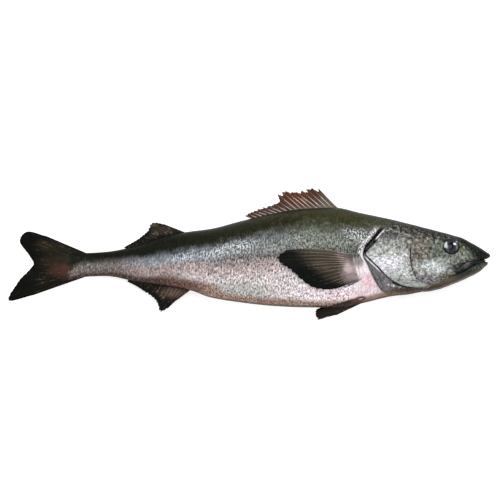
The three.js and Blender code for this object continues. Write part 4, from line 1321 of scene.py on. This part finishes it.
# %% Fin paints
def fin_paint(name, colours, amount, lines=26.0, bend=0.45, lean=0.0, patches=(), gloss=0.42):
    """Root, middle and tip colours along the ray, streaks of a fourth colour, and soft patches in
    millimetres. The lean brings the tip's colour nearer to the root along the fin's rear rays."""
    p = Paint(name)
    root, middle, tip, streak = (screen(*colour) for colour in colours)
    u, t = p.attribute("u", "Fac"), p.attribute("t", "Fac")
    x, y, _ = p.parts(p.place_mm())
    streaks = p.uneven(p.vector(u * lines, t * 2.5, 0.0))
    spots = p.uneven(p.vector(x, y, 0.0), 0.22, 4.0, 0.65)
    far = t + (u - 0.3) * lean + spots * 0.25 + streaks * 0.12
    coats = Coats(p, root).lay(middle, p.step(far, bend * 0.15, bend * 0.7))
    coats.lay(tip, p.step(far, bend, bend + 0.35))
    coats.patches(x + spots * 12, y + spots * 9, patches)
    coats.lay(streak, p.step(streaks + spots * 0.5, 0.05, 0.2) * amount * p.step(far, bend + 0.6, bend))
    coats.lay(SHADE, p.step(streaks, -0.03, -0.2) * 0.6)
    return p.finish(Base_Color=coats.top, Roughness=gloss + spots * 0.2, Specular_IOR_Level=0.04,
                    Normal=p.bump(streaks + spots, 0.25 * MM))


SPINY_PATCHES = [(screen(132, 136, 120), (119, 81), (13, 18), 0.6, 0.25),
                 (screen(92, 52, 32), (74, 84), (20, 10), 0.6, 0.8),
                 (screen(74, 56, 52), (28, 66), (30, 12), 0.6, 0.7)]
SECOND_PATCHES = [(screen(104, 92, 70), (-143, 44), (7, 3), 0.6, 0.6),
                  (screen(72, 63, 56), (-130, 36), (16, 6), 0.6, 0.6)]
ANAL_PATCHES = [(screen(112, 92, 82), (-113, -57), (16, 8), 0.6, 0.7)]
TAIL_PATCHES = [(FIN_BROWN, (-280, -16), (14, 18), 0.6, 0.8),
                (FIN_RED, (-287, -25), (14, 9), 0.6, 0.38),
                (screen(56, 44, 32), (-294, -12), (22, 9), 0.6, 0.4),
                (screen(50, 45, 28), (-298, 10), (18, 8), 0.6, 0.35)]
SIDE_PATCHES = [(screen(190, 170, 172), (156, -25), (16, 16), 0.6, 0.6),
                (screen(226, 206, 208), (148, -21), (6, 6), 0.6, 0.5),
                (screen(142, 130, 134), (155, -13), (6, 5), 0.6, 0.7),
                # Painted shade at the top of the fin's root, behind the rim of the gill slit.
                (screen(72, 68, 64), (156, -2), (15, 9), 0.6, 0.85),
                (screen(96, 88, 76), (110, 5), (40, 4), 0.6, 0.4),
                # Painted shadow along the fin's lower edge.
                (screen(58, 50, 50), (148, -47), (7, 3), 0.6, 0.8),
                (screen(58, 50, 50), (157, -42.5), (7, 2.6), 0.6, 0.8)]
PELVIC_PATCHES = [(screen(150, 100, 98), (158, -68), (7, 3), 0.6, 0.7)]

# %% The paint of each web and of its rays
SPINY_WEB = (118, 102, 92), (84, 60, 48), (70, 46, 34), (150, 132, 122)
SPINES = (140, 134, 122), (206, 196, 190), (150, 118, 100), (240, 236, 232)
SECOND_WEB = (22, 22, 16), (26, 24, 18), (20, 22, 17), (128, 108, 90)
SOFT_RAYS = (32, 29, 22), (50, 43, 36), (18, 20, 15), (136, 118, 104)
ANAL_WEB = (40, 31, 26), (28, 25, 20), (16, 18, 14), (136, 116, 102)
TAIL_WEB = (22, 22, 15), (17, 17, 12), (8, 10, 7), (84, 72, 54)
TAIL_RAYS = (26, 25, 18), (22, 21, 15), (8, 10, 7), (92, 80, 62)
SIDE_WEB = (150, 128, 124), (64, 57, 47), (12, 15, 13), (112, 100, 88)
SIDE_RAYS = (204, 184, 182), (104, 94, 82), (18, 21, 19), (150, 140, 126)
PELVIC_WEB = (74, 50, 46), (46, 36, 30), (34, 29, 24), (104, 88, 74)
PELVIC_RAYS = (88, 62, 56), (58, 46, 40), (38, 32, 28), (130, 112, 98)

PAINTS = {
    "spiny_web": fin_paint("spiny fin web", SPINY_WEB, 0.7, 36.0, patches=SPINY_PATCHES),
    "spine": fin_paint("spines", SPINES, 0.8, 36.0),
    "soft_web": fin_paint("second dorsal web", SECOND_WEB, 0.8, patches=SECOND_PATCHES),
    "soft_ray": fin_paint("soft fin rays", SOFT_RAYS, 0.8),
    "anal_web": fin_paint("anal fin web", ANAL_WEB, 0.7, lean=0.25, patches=ANAL_PATCHES),
    "tail_web": fin_paint("tail fin web", TAIL_WEB, 0.8, 60.0, patches=TAIL_PATCHES),
    "tail_ray": fin_paint("tail fin rays", TAIL_RAYS, 0.8, 60.0, patches=TAIL_PATCHES),
    "side_web": fin_paint("side fin web", SIDE_WEB, 0.5, 30.0, 0.46, 0.14, SIDE_PATCHES, 0.36),
    "side_ray": fin_paint("side fin rays", SIDE_RAYS, 0.7, 30.0, 0.52, 0.14, SIDE_PATCHES, 0.4),
    "pelvic_web": fin_paint("pelvic fin web", PELVIC_WEB, 0.7, 14.0, patches=PELVIC_PATCHES),
    "pelvic_ray": fin_paint("pelvic fin rays", PELVIC_RAYS, 0.7, 14.0),
}
print("the fins have", len(PAINTS), "paints")

# %% Fins on the ridges and the tail fin
FIRST_DORSAL = {
    "from": 132, "to": 3, "sink": 5,
    "length": [(0, 40), (0.1, 42), (0.2, 41), (0.4, 40), (0.48, 36), (0.54, 22), (0.65, 23), (0.8, 20),
               (1, 11)],
    "rake": [(0, 46), (0.1, 43), (0.25, 38), (0.4, 41), (0.5, 37), (0.65, 24), (0.8, 20), (1, 24)],
}
SECOND_DORSAL = {
    "from": -97, "to": -185, "sink": 5,
    "length": [(0, 32.5), (0.1, 35), (0.2, 35.4), (0.4, 22.5), (0.6, 15), (0.8, 10), (1, 3.5)],
    "rake": [(0, 22), (0.2, 30), (0.4, 22), (0.6, 24), (0.8, 24), (1, 28)],
}
ANAL = {
    "from": -89, "to": -181, "sink": 5,
    "length": [(0, 22), (0.12, 37), (0.25, 42.3), (0.38, 29.6), (0.5, 21.3), (0.7, 12.6), (0.85, 7),
               (1, 3)],
    "rake": [(0, 38), (0.12, 53), (0.25, 59.5), (0.38, 63), (0.5, 67), (0.7, 61), (0.85, 55), (1, 50)],
}
TAIL_ROOT = [(-238, -2), (-258, -1), (-272, -8), (-277, -15), (-278, -20), (-277, -26), (-272, -33),
             (-258, -34.5), (-240, -31.5)]
TAIL_TIPS = [(-305, 27), (-335, 33.5), (-345, 20.5), (-330, -3), (-324, -14), (-328, -21),
             (-347, -41.5), (-362, -69.5), (-325, -62)]
TAIL_LEVELS = (7.2, 2.2)


def level_lines(root, tips, levels, tuck=0):
    """A root line and a line of tips, each at a height of its own over the slab."""
    return [smooth_line([(x, y + tuck, level) for x, y in line])
            for line, level in zip((root, tips), levels)]


fins = [
    grow_fin("first_dorsal_fin", ridge_lines(FIRST_DORSAL, 1), Rays=18, Branches=1, Ray_radius=0.75 * MM,
             Tip_share=0.45, Fork=0.0, Web_thickness=0.7 * MM, Notch=0.05, Ragged=0.1, Ripple=0.6 * MM,
             Waves=7.0, Seed=5, Ray_finish=PAINTS["spine"], Web_finish=PAINTS["spiny_web"]),
    grow_fin("second_dorsal_fin", ridge_lines(SECOND_DORSAL, 1), Rays=16, Branches=2, Ray_radius=0.55 * MM,
             Fork=0.2, Web_thickness=0.75 * MM, Notch=0.03, Ragged=0.03, Ripple=0.4 * MM, Waves=5.0,
             Seed=11, Ray_finish=PAINTS["soft_ray"], Web_finish=PAINTS["soft_web"]),
    grow_fin("anal_fin", ridge_lines(ANAL, -1), Rays=18, Branches=2, Ray_radius=0.55 * MM, Fork=0.2,
             Web_thickness=0.75 * MM, Notch=0.03, Ragged=0.02, Ripple=0.4 * MM, Waves=5.0, Seed=17,
             Ray_finish=PAINTS["soft_ray"], Web_finish=PAINTS["anal_web"]),
    grow_fin("tail_fin", level_lines(TAIL_ROOT, TAIL_TIPS, TAIL_LEVELS), Rays=34, Rows=48, Branches=2,
             Ray_radius=0.75 * MM, Tip_share=0.3, Fork=0.3, Web_thickness=1.2 * MM, Notch=0.006,
             Ragged=0.008, Ripple=0.5 * MM, Waves=6.0, Seed=23, Ray_finish=PAINTS["tail_ray"],
             Web_finish=PAINTS["tail_web"]),
]

# %% Paired fins, which lie on the flanks or fold under the belly
PECTORAL_ROOT = [(166, -6), (168, -20), (166, -37)]
PECTORAL_TIPS = [(54, 5.4), (41.5, -5), (50, -16), (61.5, -24.5), (78, -39), (94.5, -50),
                 (114, -53.4), (133, -51), (149, -44.5)]
PECTORAL_LEVELS = (30, 30)             # these fins take their real height from the body
PELVIC_ROOT = [(165, -65), (170, -67.5), (175, -70)]
PELVIC_TIPS = [(100.5, -86), (99, -91), (102, -98.5), (116, -95), (131, -91.5)]
PELVIC_LEVELS = {1: (48, 43), -1: (32, 38)}
PELVIC_LIES = {1: 1.0, -1: 0.0}        # the near fin drapes over the edge of the belly
PELVIC_TUCK = {1: 0, -1: 3}            # the far fin shows less, so it is drawn in under the belly

for side, word in ((1, "right"), (-1, "left")):
    lines = level_lines(PECTORAL_ROOT, PECTORAL_TIPS, PECTORAL_LEVELS)
    fins.append(grow_fin(f"pectoral_fin_{word}", lines, Rays=16, Rows=64, Branches=2, Ray_radius=0.8 * MM,
                         Tip_share=0.3, Fork=0.28, Web_thickness=0.9 * MM, Notch=0.015, Ragged=0.015,
                         Bow=6.5 * MM, Ripple=0.35 * MM, Waves=5.0, Side=float(side), Clearance=2.4 * MM,
                         Lift=3.5 * MM, Floor=1.25 * MM, Body=skin, Seed=31,
                         Ray_finish=PAINTS["side_ray"], Web_finish=PAINTS["side_web"]))
    lines = level_lines(PELVIC_ROOT, PELVIC_TIPS, PELVIC_LEVELS[side], PELVIC_TUCK[side])
    fins.append(grow_fin(f"pelvic_fin_{word}", lines, Rays=7, Branches=2, Ray_radius=0.9 * MM,
                         Tip_share=0.35, Fork=0.25, Web_thickness=1.2 * MM, Notch=0.02, Ragged=0.02,
                         Ripple=1.0 * MM * side, Waves=3.0, Side=PELVIC_LIES[side], Clearance=1.2 * MM,
                         Lift=1.5 * MM, Body=skin, Seed=2, Ray_finish=PAINTS["pelvic_ray"],
                         Web_finish=PAINTS["pelvic_web"]))

# %% [markdown]
# ## The studio
# The photograph was taken from straight above on a white ground that throws almost no shadow. A
# white board under the fish, a bright sky and one large lamp from the side of the back give the same
# even light, with a soft shine on the upper flank and a faint shade below the belly.

# %% Floor, light and camera
FLOOR_REACH = 40                       # metres, so that the board's edge is never in view
SKY_STRENGTH = 0.46


def stage_floor():
    mesh = bpy.data.meshes.new("floor")
    corners = [(x * FLOOR_REACH, y * FLOOR_REACH, 0) for x, y in ((-1, -1), (1, -1), (1, 1), (-1, 1))]
    mesh.from_pydata(corners, [], [(0, 1, 2, 3)])
    p = Paint("white board")
    p.finish(Base_Color=screen(250, 250, 250), Roughness=0.9, Specular_IOR_Level=0.1,
             Emission_Color=screen(255, 255, 255), Emission_Strength=0.5)
    mesh.materials.append(p.material)
    floor = bpy.data.objects.new("floor", mesh)
    bpy.context.scene.collection.objects.link(floor)
    return floor


def soft_sun(name, toward, spread, strength):
    """A far lamp in the direction of an arrow, as wide as the spread in degrees."""
    light = bpy.data.lights.new(name, "SUN")
    light.energy, light.angle = strength, math.radians(spread)
    lamp = bpy.data.objects.new(name, light)
    lamp.rotation_euler = Vector(toward).to_track_quat("Z", "Y").to_euler()
    bpy.context.scene.collection.objects.link(lamp)
    return lamp


stage_floor()
soft_sun("key", (0.1, 0.5, 1.0), 40, 1.7)
soft_sun("fill", (-0.2, -0.6, 1.0), 60, 0.6)

world = bpy.data.worlds.new("sky")
world.use_nodes = True
sky = world.node_tree.nodes["Background"].inputs
sky["Color"].default_value = (1.0, 1.0, 1.0, 1.0)
sky["Strength"].default_value = SKY_STRENGTH
bpy.context.scene.world = world

# One pixel of the square picture is 1.5 mm at the height of the fish's middle.
VIEW_WIDTH = 0.75
LENS, SENSOR = 700.0, 36.0
MIDDLE = (1.5 * MM, 6 * MM, 35 * MM)
camera = bpy.data.objects.new("camera", bpy.data.cameras.new("camera"))
camera.data.lens, camera.data.sensor_width = LENS, SENSOR
camera.location = (MIDDLE[0], MIDDLE[1], MIDDLE[2] + VIEW_WIDTH * LENS / SENSOR)
bpy.context.scene.collection.objects.link(camera)
bpy.context.scene.camera = camera
bpy.context.scene.view_settings.view_transform = "Standard"
print("the camera stands", round(camera.location.z, 2), "m above the slab")

# %% [markdown]
# ## What stands for what
# Every piece rides on the one body of the model. The two eyeballs stand for the solid eyes, and all
# the others together for the solid fish.

# %% Hand over
for piece in [skin, lower_jaw, tongue, lining, *straps, *fins]:
    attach(piece, "root")
    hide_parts("fish")
for node, piece in eyes.items():
    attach(piece, "root")
    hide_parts(node)
